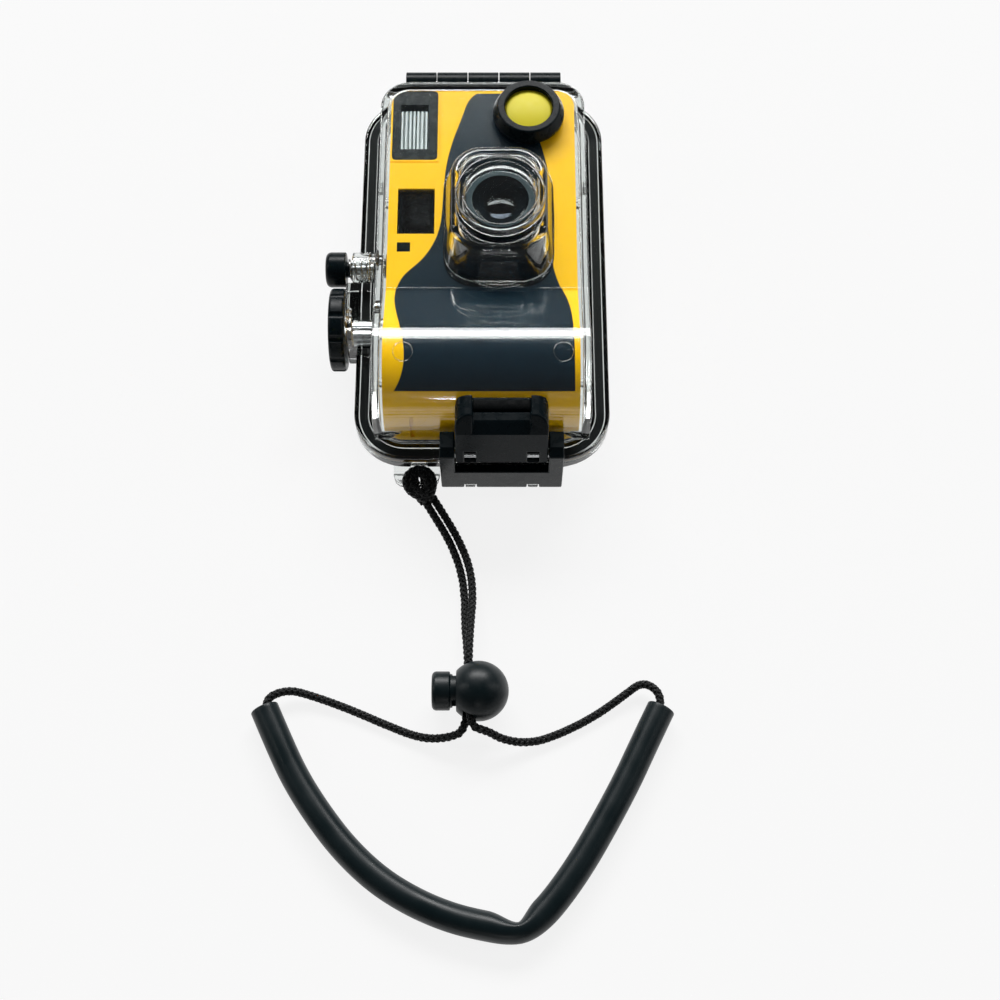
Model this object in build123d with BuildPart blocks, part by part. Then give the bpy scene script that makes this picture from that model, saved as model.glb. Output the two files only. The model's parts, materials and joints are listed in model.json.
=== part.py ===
from build123d import *
import os
from math import asin, atan2, ceil, cos, degrees, hypot, pi, radians, sin, sqrt, tan

os.makedirs("parts", exist_ok=True)

# A 35 mm film camera lying on its back in a clear dive housing, with a wrist lanyard.
# The origin is the middle of the housing's flat back. +Z is out of the lens, +Y towards the hinge
# and +X towards the side away from the knob. All lengths are in millimetres.

# Fits
seat_gap = 0.3
running_gap = 0.06
press_gap = 0.02
loose_gap = 0.5
overrun = 3.0

# Housing shells
wall = 2.0
split = 13.0
front_face = 32.0
shell_width = 61.0
shell_length = 109.2
shell_corner = 9.5
shell_draft = 3.6
rear_step = 1.2
rear_edge_round = 2.0
front_flange = 2.5
rear_flange = 3.0
flange_reach = 4.8
flange_edge_round = 0.8

# Raised round end of the camera and of the shell over it
grip_from_end = 18.6
grip_axis_z = 20.6
grip_radius = 18.15
ramp_from_grip = 20.5

# Gasket in the rear flange
gasket_width = 2.2
gasket_depth = 1.7
gasket_inset = 1.5

# Clear lens box and port
lens_x = 5.1
lens_y = 5.0
box_foot = (31.0, 40.6)
box_foot_centre = (4.6, 5.8)
box_head = (26.2, 33.2)
box_head_centre = (4.7, 8.2)
box_corner = 9.0
box_top = 41.5
box_edge_round = 2.4
port_outer = 24.6
port_top = 47.8
port_recess_bore = 19.8
port_recess = 2.2
port_window = 2.0
port_inner_bore = 20.6
port_lip_round = 0.7

# Knob boss and advance knob on the left side
knob_from_grip = 15.1
knob_z = 18.0
knob_boss_reach = 7.1
knob_boss_below = 6.5
knob_boss_above = 11.4
knob_boss_top = 29.5
knob_boss_round = 5.5
knob_radius = 11.6
knob_thick = 4.3
knob_grips = 11
knob_grip_radius = 1.5
knob_grip_depth = 0.55
knob_edge_round = 0.9
knob_shaft_radius = 2.5
knob_hub_radius = 4.2
knob_screw_head_radius = 2.7
knob_screw_head_thick = 1.2
knob_screw_radius = 1.0
knob_screw_length = 8.0
seal_wire = 0.8

# Shutter plunger on the same side
plunger_from_knob = 18.3
plunger_z = 20.0
plunger_boss_radius = 4.9
plunger_boss_reach = 6.1
plunger_shaft_radius = 1.5
plunger_travel = 1.6
plunger_pocket_radius = 3.5
plunger_pocket_reach = 1.1
cap_radius = 4.95
cap_reach = 13.7
cap_round = 1.5
cap_neck_radius = 2.2
clip_radius = 2.8
clip_thick = 0.5
clip_mouth = 2.2
spring_wire = 0.6
spring_radius = 2.85
spring_turns = 4

# Flash button on the front face
flash_x = 13.2
flash_from_end = 12.8
ring_foot_radius = 10.2
ring_head_radius = 8.9
ring_top = 36.2
ring_bore_radius = 6.8
flash_cap_radius = 6.55
flash_cap_edge = 34.6
flash_cap_crown = 0.8
flash_cap_skirt = 7.6
flash_cap_skirt_thick = 0.7
flash_travel = 1.0
pusher_radius = 2.0

# Hinge at the +Y end
hinge_reach = 4.6
hinge_z = 17.0
hinge_radius = 3.5
hinge_width = 46.3
hinge_pin_radius = 1.2
hinge_knuckles = 5
hinge_leaf_thick = 2.0
hinge_foot = 3.0

# Latch at the -Y end
latch_x = 5.45
latch_width = 33.5
latch_arm = 4.0
latch_reach = 2.8
frame_axis_reach = 0.5
frame_axis_z = 3.1
frame_barrel = 2.3
latch_pin_radius = 1.0
frame_block_top = 12.6
frame_arm_top = 23.6
frame_arm_shoulder = 22.0
lug_place = 8.7
latch_lug_width = 2.8
lever_axis_reach = 0.1
lever_axis_z = 18.9
lever_barrel = 2.4
lever_cam_reach = 3.1
lever_cam_width = 2.4
lever_ledge = 31.8
lever_back_top = 33.4
lever_ear_top = 34.8
lever_ear = 4.7
lever_ear_round = 3.8
lever_back_thick = 0.9
ledge_inner_inset = 6.2
ledge_outer_inset = 3.8
lever_brow_inset = 2.6
lever_brow_z = 31.2
lever_face_inset = 0.4
lever_face_z = 29.8
lever_tip_inset = 9.8
lever_window_width = 3.2
lever_window_low = 17.2
lever_window_high = 22.8
lever_window_offset = 8.5

# Lanyard lug on the rear shell
lug_left = -24.6
lug_right = -11.7
lug_reach = 3.0
lug_low = 2.7
lug_thick = 3.0
lug_corner = 3.0
lug_hole_x = -17.3
lug_hole_inset = 3.0
lug_hole_radius = 2.3

# Film camera body
camera_back = 6.0
camera_from_end = 3.4
camera_split = 14.0
camera_side_gap = 2.1
camera_corner = 5.0
cover_wall = 1.3
camera_end_gap = 0.45
inlay_depth = 0.5
rib_thick = 2.0
rib_y = 30.0
seam_width = 0.3
seam_x = -12.2
seam_y = 26.8
slot_width = 1.0
slot_x = -18.9
slot_low = 15.5
slot_depth = 0.8

# Dark lens housing under the clear box
housing_foot = (25.4, 34.6)
housing_head = (21.2, 28.2)
housing_top = 38.9
housing_corner = 7.0
housing_edge_round = 1.2
housing_wall = 1.2
barrel_radius = 9.4
barrel_top = 43.2
housing_mouth_radius = 7.7
housing_throat_radius = 6.4
housing_throat_z = 41.2
lens_ring_bore = 4.1
lens_ring_thick = 1.6
camera_lens_radius = 4.6
camera_lens_thick = 2.0
camera_lens_crown = 0.5
lens_hole_radius = 4.0

# Windows on the camera's front
flash_frame_low = (-25.9, 27.4)
flash_frame_high = (-12.9, 51.2)
flash_frame_lip = 0.8
flash_frame_depth = 1.75
flash_frame_corner = 1.2
diffuser_low = (-23.7, 31.1)
diffuser_high = (-15.7, 44.6)
diffuser_recess_end = 46.4
diffuser_thick = 1.0
diffuser_ribs = 7
diffuser_rib_height = 0.4
finder_low = (-23.8, 2.8)
finder_high = (-13.4, 17.7)
finder_lens_thick = 1.2
finder_lens_sink = 0.4
finder_ledge = 0.4
finder_wall = 0.8
eyepiece_size = (6.0, 8.6)
eyepiece_flange = 0.6
eyepiece_sink = 0.4
indicator_low = (-23.7, -3.0)
indicator_high = (-20.0, 0.0)

# Film path
film_x = 3.8
film_width = 35.0
film_thick = 0.2
film_plane = 8.0
can_radius = 12.5
can_length = 42.0
can_wall = 0.6
can_lip_thick = 1.3
can_lip_low = 7.5
can_slit_rise = 1.3
spool_radius = 5.4
spool_end_radius = 2.9
roll_radius = 8.4
roll_y = 36.0
supply_spool_radius = 4.0
gate_size = (24.4, 36.4)
tunnel_wall = 1.2
tunnel_foot_margin = 1.8
tunnel_head = 12.0
tunnel_top = 25.0
shutter_plate = 1.6
chassis_plate = 1.6
chassis_wall = 1.2
can_wall_from_grip = 14.6
roll_wall_y = 26.2
chassis_wall_top = 24.0
bearing_thick = 1.0
bearing_pin_radius = 1.5
bearing_margin = 2.0

# Drive train
drive_teeth = 16
wheel_teeth = 24
gear_thick = 2.0
gear_from_side = 1.5
thumb_teeth = 48
thumb_pitch_radius = 13.6
thumb_disc_thick = 1.4
thumb_slot_half = 5.5
wheel_hub_radius = 4.0
wheel_stub_radius = 1.5
wheel_stub = 0.6
spool_reach = 1.0
gear_access_radius = 7.4
sprocket_from_grip = 17.8
sprocket_radius = 1.7
sprocket_tip = 2.2
sprocket_shaft_radius = 0.8
sprocket_wheel = 2.0
perforation_inset = 2.0
perforation_size = (2.0, 2.8)
perforation_step = 4.75
perforation_count = 11
sprocket_teeth = 8
dial_y = 12.0
dial_z = 17.0
dial_radius = 5.6
dial_thick = 1.0
dial_window_radius = 1.6

# Camera controls
release_radius = 4.0
release_flange = 0.8
release_flange_thick = 0.8
blade_thick = 0.2
blade_pivot_offset = 7.0
blade_plate = 17.0
blade_pin_rise = 0.3
blade_disc_radius = 2.6
blade_hub_radius = 1.5
blade_pin_radius = 0.6
blade_z = 27.0
aperture_radius = 1.8
switch_radius = 2.6
switch_flange = 0.8
switch_flange_thick = 0.6

# Electrical parts
battery_radius = 5.25
battery_length = 44.5
battery_x = 19.4
battery_y = 2.2
battery_z = 22.0
contact_thick = 0.4
contact_size = 5.0
battery_nub = 1.0
battery_nub_radius = 1.9
capacitor_radius = 3.9
capacitor_length = 21.0
capacitor_x = -19.6
capacitor_z = 13.6
board_low = (-12.0, 27.8)
board_high = (23.4, 48.6)
board_corner = 1.0
board_post_radius = 1.5
board_post_inset = 2.0
board_bottom = 25.35
board_thick = 1.0
flash_tube_radius = 1.3
flash_tube_length = 15.6
reflector_depth = 4.6
reflector_wall = 0.4

# Lanyard
cord = 2.4
hose = 7.5
hose_bore = 3.6
ball_radius = 7.9
ball_x = -0.6
ball_from_lug = 60.2
cord_way_x = -3.3
lock_radius = 5.1
lock_head = 4.7
lock_travel = 2.8
lock_stem_radius = 4.4
lock_head_end = -12.8
lock_way_width = 2.6
lock_way_height = 5.5
lock_stem_end = -0.6
lock_button_round = 1.2
lock_pocket_end = 5.0
lock_spring_wire = 0.5
lock_spring_radius = 3.4
lock_spring_turns = 3
hitch_ring_radius = 2.85
hitch_strand_offset = 1.0
hitch_knot_radius = 2.6
hitch_knot_length = 2.6
hitch_knot_round = 0.8

# Values worked out from the sizes above
half_width = shell_width / 2
half_length = shell_length / 2
flange_half_width = half_width + flange_reach
flange_half_length = half_length + flange_reach
flange_corner = shell_corner + flange_reach
flange_top = split + front_flange
flange_bottom = split - rear_flange
draft_slope = tan(radians(shell_draft))
grip_axis_y = -(half_length - grip_from_end)
ramp_start_y = grip_axis_y + ramp_from_grip
knob_y = grip_axis_y + knob_from_grip
knob_boss_end = -(half_width + knob_boss_reach)
knob_boss_low = knob_y - knob_boss_below
knob_boss_high = knob_y + knob_boss_above
plunger_y = knob_y + plunger_from_knob
plunger_boss_end = -(half_width + plunger_boss_reach)
plunger_pocket_end = -(half_width + plunger_pocket_reach)
cap_outer_end = -(half_width + cap_reach)
flash_y = half_length - flash_from_end
hinge_y = flange_half_length + hinge_reach
latch_outer_y = -(flange_half_length + latch_reach)
frame_axis_y = -(flange_half_length + frame_axis_reach)
lever_axis_y = -(flange_half_length + lever_axis_reach)
lever_ledge_inner = -(flange_half_length - ledge_inner_inset)
lever_ledge_outer = -(flange_half_length - ledge_outer_inset)
lever_brow_y = -(flange_half_length - lever_brow_inset)
lever_face_y = -(flange_half_length - lever_face_inset)
lever_tip_y = -(flange_half_length - lever_tip_inset)
lug_end = -(flange_half_length + lug_reach)
lug_hole_y = lug_end + lug_hole_inset
ball_y = lug_end - ball_from_lug
camera_inset = wall + camera_end_gap
camera_front = front_face - camera_inset
camera_end = grip_axis_y - (grip_radius - camera_inset)
camera_hinge_end = half_length - camera_from_end
camera_length = camera_hinge_end - camera_end
camera_shift = (camera_hinge_end + camera_end) / 2
camera_half = half_width - wall - camera_side_gap
camera_width = 2 * camera_half
gear_plane_x = -(camera_half - gear_from_side)
can_wall_y = grip_axis_y + can_wall_from_grip
sprocket_y = grip_axis_y + sprocket_from_grip
cap_inner_end = plunger_boss_end - plunger_travel - seat_gap
ramp_run = grip_axis_y - ramp_start_y
ramp_rise = front_face - grip_axis_z
ramp_reach = hypot(ramp_run, ramp_rise)
ramp_angle = asin(grip_radius / ramp_reach) - atan2(ramp_rise, -ramp_run)


def side_wall_x(height, inset):
    """X of the shell's left wall at a height, so far inside its outer face."""
    return -(half_width - draft_slope * (height - split)) + inset


def slab(size, corner, low, high, centre=(0, 0), mode=Mode.ADD, draft=0):
    """Rounded plate between two heights."""
    with BuildSketch(Plane.XY.offset(low)) as outline:
        with Locations(centre):
            RectangleRounded(size[0], size[1], corner)
    extrude(outline.sketch, amount=high - low, taper=draft, mode=mode)


def box_between(low, high, mode=Mode.ADD):
    """Square block between two corners."""
    middle = tuple((a + b) / 2 for a, b in zip(low, high))
    with Locations(middle):
        Box(high[0] - low[0], high[1] - low[1], high[2] - low[2], mode=mode)


def rod_x(radius, x_low, x_high, y, z, mode=Mode.ADD):
    """Round bar or bore along X."""
    with BuildSketch(Plane.YZ.offset(x_low)) as disc:
        with Locations((y, z)):
            Circle(radius)
    extrude(disc.sketch, amount=x_high - x_low, mode=mode)


def rod_z(radius, z_low, z_high, x, y, mode=Mode.ADD):
    """Round bar or bore along Z."""
    with BuildSketch(Plane.XY.offset(z_low)) as disc:
        with Locations((x, y)):
            Circle(radius)
    extrude(disc.sketch, amount=z_high - z_low, mode=mode)


def rod_y(radius, y_low, y_high, x, z, mode=Mode.ADD):
    """Round bar or bore along Y."""
    with BuildSketch(Plane.XZ.offset(-y_high)) as disc:
        with Locations((x, z)):
            Circle(radius)
    extrude(disc.sketch, amount=y_high - y_low, mode=mode)


def side_prism(points, x_low, x_high, mode=Mode.ADD):
    """Prism along X with an outline in Y and Z."""
    with BuildSketch(Plane.YZ.offset(x_low)) as outline:
        with BuildLine():
            Polyline(*points, close=True)
        make_face()
    extrude(outline.sketch, amount=x_high - x_low, mode=mode)


def domed_disc(radius, low, high, dome_radius, crown, x, y):
    """Round disc with a shallow dome on it."""
    with BuildSketch(Plane(origin=(x, y, 0), x_dir=(1, 0, 0), z_dir=(0, -1, 0))) as half:
        with BuildLine():
            TangentArc((0, high + crown), (dome_radius, high), tangent=(1, 0))
            Polyline((dome_radius, high), (radius, high), (radius, low), (0, low), (0, high + crown))
        make_face()
    revolve(half.sketch, axis=Axis((x, y, 0), (0, 0, 1)))


def seal_ring(shaft_radius, x, y, z):
    """O-ring round a shaft that runs along X."""
    with BuildSketch(Plane.XY.offset(z)) as section:
        with Locations((x, y + shaft_radius + running_gap + seal_wire)):
            Circle(seal_wire)
    revolve(section.sketch, axis=Axis((x, y, z), (1, 0, 0)))


def grip_form(inset, width, length, corner, base, top, draft=0, shift=0):
    """Block with the raised round end, inset from the shell's outer face by a wall."""
    radius = grip_radius - inset
    crest_width = width - 2 * tan(radians(draft)) * (top - base)
    start_y = ramp_start_y - inset * tan(ramp_angle / 2)
    start_z = front_face - inset
    reach_y = start_y - grip_axis_y
    reach_z = start_z - grip_axis_z
    run = sqrt(reach_y ** 2 + reach_z ** 2 - radius ** 2)
    touch = (start_y - run * cos(ramp_angle), start_z + run * sin(ramp_angle))
    with BuildPart() as form:
        slab((width, length), corner, base, top, centre=(0, shift), draft=draft)
        with BuildSketch(Plane.YZ) as beyond:
            with Locations((grip_axis_y - radius, grip_axis_z + radius)):
                Rectangle(2 * radius, 2 * radius)
            with Locations((grip_axis_y, grip_axis_z)):
                Circle(radius, mode=Mode.SUBTRACT)
        extrude(beyond.sketch, amount=width, both=True, mode=Mode.SUBTRACT)
        with BuildSketch(Plane.YZ) as hump:
            with Locations((grip_axis_y, grip_axis_z)):
                Circle(radius)
            with BuildLine():
                Polyline((start_y, base), (start_y, start_z), touch, (grip_axis_y, grip_axis_z),
                         (grip_axis_y, base), close=True)
            make_face()
            with Locations((grip_axis_y, base - grip_radius)):
                Rectangle(2 * shell_length, 2 * grip_radius, mode=Mode.SUBTRACT)
        extrude(hump.sketch, amount=crest_width / 2, both=True)
    return form.part


def lens_box_form(inset, foot, foot_centre, head, head_centre, corner, low, high, edge):
    """Raised box that leans in towards its top."""
    with BuildPart() as form:
        with BuildSketch(Plane.XY.offset(low)):
            with Locations(foot_centre):
                RectangleRounded(foot[0] - 2 * inset, foot[1] - 2 * inset, corner - inset)
        with BuildSketch(Plane.XY.offset(high)):
            with Locations(head_centre):
                RectangleRounded(head[0] - 2 * inset, head[1] - 2 * inset, corner - inset)
        loft()
        fillet(form.faces().sort_by(Axis.Z)[-1].edges(), edge)
    return form.part


def toothed_wheel(teeth, pitch_radius, x_low, x_high, y, z, phase):
    """Straight-toothed gear about a line along X, with a tooth at the phase angle."""
    pitch = 2 * pi * pitch_radius / teeth
    tip_share = 0.2
    root_share = 0.5
    addendum_share = 0.26
    dedendum_share = 0.34
    root_radius = pitch_radius - dedendum_share * pitch
    tip_radius = pitch_radius + addendum_share * pitch
    sunk_radius = root_radius - dedendum_share * pitch
    with BuildSketch(Plane.YZ.offset(x_low)) as disc:
        with Locations((y, z)):
            Circle(root_radius)
            with PolarLocations(0, teeth, start_angle=phase):
                Polygon((sunk_radius, -root_share * pitch / 2), (tip_radius, -tip_share * pitch / 2),
                        (tip_radius, tip_share * pitch / 2), (sunk_radius, root_share * pitch / 2), align=None)
    extrude(disc.sketch, amount=x_high - x_low)


def save(builder, name):
    """Label a finished piece and write its file."""
    builder.part.label = name
    export_step(builder.part, "parts/" + name + ".step")


# Rear shell: tray, flange, camera ribs, latch lugs and lanyard lug
rear_width = shell_width + 2 * rear_step
rear_length = shell_length + 2 * rear_step
rear_corner = shell_corner + rear_step
rear_end = rear_length / 2
gasket_outer_width = 2 * (flange_half_width - gasket_inset)
gasket_outer_length = 2 * (flange_half_length - gasket_inset)
gasket_corner = flange_corner - gasket_inset
plunger_seal_x = (plunger_pocket_end + side_wall_x(plunger_z, wall)) / 2

with BuildPart() as rear_shell:
    slab((rear_width, rear_length), rear_corner, 0, split)
    fillet(rear_shell.faces().sort_by(Axis.Z)[0].edges(), rear_edge_round)
    slab((2 * flange_half_width, 2 * flange_half_length), flange_corner, flange_bottom, split)
    box_between((knob_boss_end, knob_boss_low, flange_bottom), (-half_width, knob_boss_high, split))
    for side in (-1, 1):
        lug_x = latch_x + side * lug_place
        side_prism(((-rear_end + wall, frame_axis_z - frame_barrel), (frame_axis_y, frame_axis_z - frame_barrel),
                    (frame_axis_y, frame_axis_z + frame_barrel), (-rear_end + wall, flange_bottom)),
                   lug_x - latch_lug_width / 2, lug_x + latch_lug_width / 2)
        rod_x(frame_barrel, lug_x - latch_lug_width / 2, lug_x + latch_lug_width / 2, frame_axis_y, frame_axis_z)
    slab((lug_right - lug_left, -rear_end + rear_corner - lug_end), lug_corner, lug_low, lug_low + lug_thick,
         centre=((lug_right + lug_left) / 2, (-rear_end + rear_corner + lug_end) / 2))
    slab((rear_width - 2 * wall, rear_length - 2 * wall), rear_corner - wall, wall, split + overrun,
         mode=Mode.SUBTRACT)
    rod_z(lug_hole_radius, 0, split, lug_hole_x, lug_hole_y, mode=Mode.SUBTRACT)
    rod_x(latch_pin_radius + press_gap, latch_x - latch_width, latch_x + latch_width, frame_axis_y,
          frame_axis_z, mode=Mode.SUBTRACT)
    with BuildSketch(Plane.XY.offset(split - gasket_depth)) as groove:
        RectangleRounded(gasket_outer_width, gasket_outer_length, gasket_corner)
        RectangleRounded(gasket_outer_width - 2 * gasket_width, gasket_outer_length - 2 * gasket_width,
                         gasket_corner - gasket_width, mode=Mode.SUBTRACT)
    extrude(groove.sketch, amount=gasket_depth + overrun, mode=Mode.SUBTRACT)
    for rib_place in (-rib_y, rib_y):
        box_between((-rear_width / 2 + wall, rib_place - rib_thick / 2, wall),
                    (rear_width / 2 - wall, rib_place + rib_thick / 2, camera_back - seat_gap))
save(rear_shell, "rear_shell")

with BuildPart() as gasket:
    with BuildSketch(Plane.XY.offset(split - gasket_depth)):
        RectangleRounded(gasket_outer_width, gasket_outer_length, gasket_corner)
        RectangleRounded(gasket_outer_width - 2 * gasket_width, gasket_outer_length - 2 * gasket_width,
                         gasket_corner - gasket_width, mode=Mode.SUBTRACT)
    extrude(amount=gasket_depth)
save(gasket, "gasket")

# Front shell: drafted box with the round end, lens box, port, knob boss and plunger boss
shell_outer = grip_form(0, shell_width, shell_length, shell_corner, split, front_face, shell_draft)
shell_inner = grip_form(wall, shell_width - 2 * wall, shell_length - 2 * wall, shell_corner - wall, split,
                        front_face - wall, shell_draft)
box_outer = lens_box_form(0, box_foot, box_foot_centre, box_head, box_head_centre, box_corner,
                          front_face - wall, box_top, box_edge_round)
box_inner = lens_box_form(wall, box_foot, box_foot_centre, box_head, box_head_centre, box_corner,
                          front_face - 2 * wall, box_top - wall, box_edge_round / 2)
port_seat = port_top - port_recess

with BuildPart() as front_shell:
    add(shell_outer)
    slab((2 * flange_half_width, 2 * flange_half_length), flange_corner, split, flange_top)
    fillet(front_shell.faces().filter_by(Axis.Z).group_by(Axis.Z)[1].sort_by(SortBy.AREA)[-1].outer_wire().edges(),
           flange_edge_round)
    side_prism(((knob_boss_low, split), (knob_boss_low, knob_boss_top - knob_boss_round),
                (knob_boss_low + knob_boss_round / 3, knob_boss_top - knob_boss_round / 3),
                (knob_boss_low + knob_boss_round, knob_boss_top),
                (knob_boss_high - knob_boss_round, knob_boss_top),
                (knob_boss_high - knob_boss_round / 3, knob_boss_top - knob_boss_round / 3),
                (knob_boss_high, knob_boss_top - knob_boss_round), (knob_boss_high, split)),
               knob_boss_end, side_wall_x(front_face, wall / 2))
    rod_x(plunger_boss_radius, plunger_boss_end, side_wall_x(front_face, wall / 2), plunger_y, plunger_z)
    add(box_outer)
    rod_z(port_outer / 2, box_top - wall, port_top, lens_x, lens_y)
    fillet(front_shell.edges().filter_by(GeomType.CIRCLE).group_by(Axis.Z)[-1], port_lip_round)
    add(shell_inner, mode=Mode.SUBTRACT)
    add(box_inner, mode=Mode.SUBTRACT)
    rod_z(port_inner_bore / 2, box_top - 2 * wall, port_seat - port_window, lens_x, lens_y, mode=Mode.SUBTRACT)
    rod_z(port_recess_bore / 2, port_seat, port_top + overrun, lens_x, lens_y, mode=Mode.SUBTRACT)
    rod_x(knob_shaft_radius + running_gap, knob_boss_end - overrun, 0, knob_y, knob_z, mode=Mode.SUBTRACT)
    rod_x(knob_shaft_radius + running_gap + 2 * seal_wire + press_gap, knob_boss_end - overrun,
          knob_boss_end + 2 * seal_wire, knob_y, knob_z, mode=Mode.SUBTRACT)
    rod_x(plunger_shaft_radius + running_gap, plunger_boss_end - overrun, 0, plunger_y, plunger_z,
          mode=Mode.SUBTRACT)
    rod_x(plunger_pocket_radius, plunger_boss_end - overrun, plunger_pocket_end, plunger_y, plunger_z,
          mode=Mode.SUBTRACT)
    rod_x(plunger_shaft_radius + running_gap + 2 * seal_wire + press_gap, plunger_seal_x - seal_wire - press_gap,
          plunger_seal_x + seal_wire + press_gap, plunger_y, plunger_z, mode=Mode.SUBTRACT)
    rod_z(pusher_radius + running_gap, front_face - 2 * wall, front_face + overrun, flash_x, flash_y,
          mode=Mode.SUBTRACT)
save(front_shell, "front_shell")

# Hinge: a leaf on each shell and the pin through both
knuckle_width = (hinge_width - (hinge_knuckles - 1) * seat_gap) / hinge_knuckles
hinge_start = -hinge_width / 2


def knuckle_span(index):
    """X range of one knuckle."""
    low = hinge_start + index * (knuckle_width + seat_gap)
    return low, low + knuckle_width


with BuildPart() as rear_hinge_leaf:
    side_prism(((flange_half_length - hinge_foot, flange_bottom - hinge_leaf_thick),
                (flange_half_length + hinge_leaf_thick, flange_bottom - hinge_leaf_thick),
                (flange_half_length + hinge_leaf_thick, split), (flange_half_length, split),
                (flange_half_length, flange_bottom), (flange_half_length - hinge_foot, flange_bottom)),
               hinge_start, -hinge_start)
    for index in range(0, hinge_knuckles, 2):
        low_x, high_x = knuckle_span(index)
        side_prism(((flange_half_length + seat_gap, split - hinge_leaf_thick),
                    (flange_half_length + seat_gap, flange_top), (hinge_y - hinge_radius, hinge_z),
                    (hinge_y, hinge_z), (hinge_y, hinge_z - hinge_radius),
                    (flange_half_length + hinge_leaf_thick, split - hinge_leaf_thick)), low_x, high_x)
        rod_x(hinge_radius, low_x, high_x, hinge_y, hinge_z)
    rod_x(hinge_pin_radius + press_gap, 2 * hinge_start, -2 * hinge_start, hinge_y, hinge_z, mode=Mode.SUBTRACT)
save(rear_hinge_leaf, "rear_hinge_leaf")

with BuildPart() as front_hinge_leaf:
    box_between((hinge_start, half_length + 2 * seat_gap, flange_top),
                (-hinge_start, flange_half_length, flange_top + hinge_leaf_thick))
    for index in range(1, hinge_knuckles, 2):
        low_x, high_x = knuckle_span(index)
        side_prism(((flange_half_length - hinge_leaf_thick, flange_top),
                    (flange_half_length - hinge_leaf_thick, flange_top + hinge_leaf_thick),
                    (hinge_y - hinge_radius / 2, hinge_z + hinge_radius * sqrt(3) / 2), (hinge_y, hinge_z),
                    (flange_half_length, flange_top)), low_x, high_x)
        rod_x(hinge_radius, low_x, high_x, hinge_y, hinge_z)
    rod_x(hinge_pin_radius + running_gap, 2 * hinge_start, -2 * hinge_start, hinge_y, hinge_z, mode=Mode.SUBTRACT)
save(front_hinge_leaf, "front_hinge_leaf")

with BuildPart() as hinge_pin:
    rod_x(hinge_pin_radius, hinge_start, -hinge_start, hinge_y, hinge_z)
save(hinge_pin, "hinge_pin")

# Latch: a frame that hooks over both flanges, with the locking lever between its arms
arm_inner_y = -flange_half_length - seat_gap
arm_tip_y = -half_length - seat_gap
arm_floor = flange_top + seat_gap
latch_low = latch_x - latch_width / 2
latch_high = latch_x + latch_width / 2
lug_slot = latch_lug_width / 2 + seat_gap

with BuildPart() as latch_frame:
    for low_x, high_x in ((latch_low, latch_low + latch_arm), (latch_high - latch_arm, latch_high)):
        side_prism(((latch_outer_y, frame_axis_z), (latch_outer_y, frame_arm_shoulder),
                    (arm_inner_y, frame_arm_top), (arm_tip_y, frame_arm_top), (arm_tip_y, arm_floor),
                    (arm_inner_y, arm_floor), (arm_inner_y, frame_axis_z)), low_x, high_x)
    side_prism(((latch_outer_y, frame_axis_z), (latch_outer_y, frame_block_top), (arm_inner_y, frame_block_top),
                (arm_inner_y, frame_axis_z)), latch_low, latch_high)
    rod_x(frame_barrel, latch_low, latch_high, frame_axis_y, frame_axis_z)
    for side in (-1, 1):
        lug_x = latch_x + side * lug_place
        rod_x(frame_barrel + seat_gap, lug_x - lug_slot, lug_x + lug_slot, frame_axis_y, frame_axis_z,
              mode=Mode.SUBTRACT)
    rod_x(latch_pin_radius + running_gap, latch_low + latch_arm / 2, latch_high - latch_arm / 2, frame_axis_y,
          frame_axis_z, mode=Mode.SUBTRACT)
    rod_x(latch_pin_radius + press_gap, latch_low + latch_arm / 2, latch_high - latch_arm / 2, lever_axis_y,
          lever_axis_z, mode=Mode.SUBTRACT)
save(latch_frame, "latch_frame")

with BuildPart() as latch_frame_pin:
    rod_x(latch_pin_radius, latch_low + latch_arm / 2 + seat_gap, latch_high - latch_arm / 2 - seat_gap,
          frame_axis_y, frame_axis_z)
save(latch_frame_pin, "latch_frame_pin")

with BuildPart() as latch_lever_pin:
    rod_x(latch_pin_radius, latch_low + latch_arm / 2 + seat_gap, latch_high - latch_arm / 2 - seat_gap,
          lever_axis_y, lever_axis_z)
save(latch_lever_pin, "latch_lever_pin")

lever_low = latch_low + latch_arm + seat_gap
lever_high = latch_high - latch_arm - seat_gap
lever_clear_radius = grip_radius + seat_gap

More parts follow.
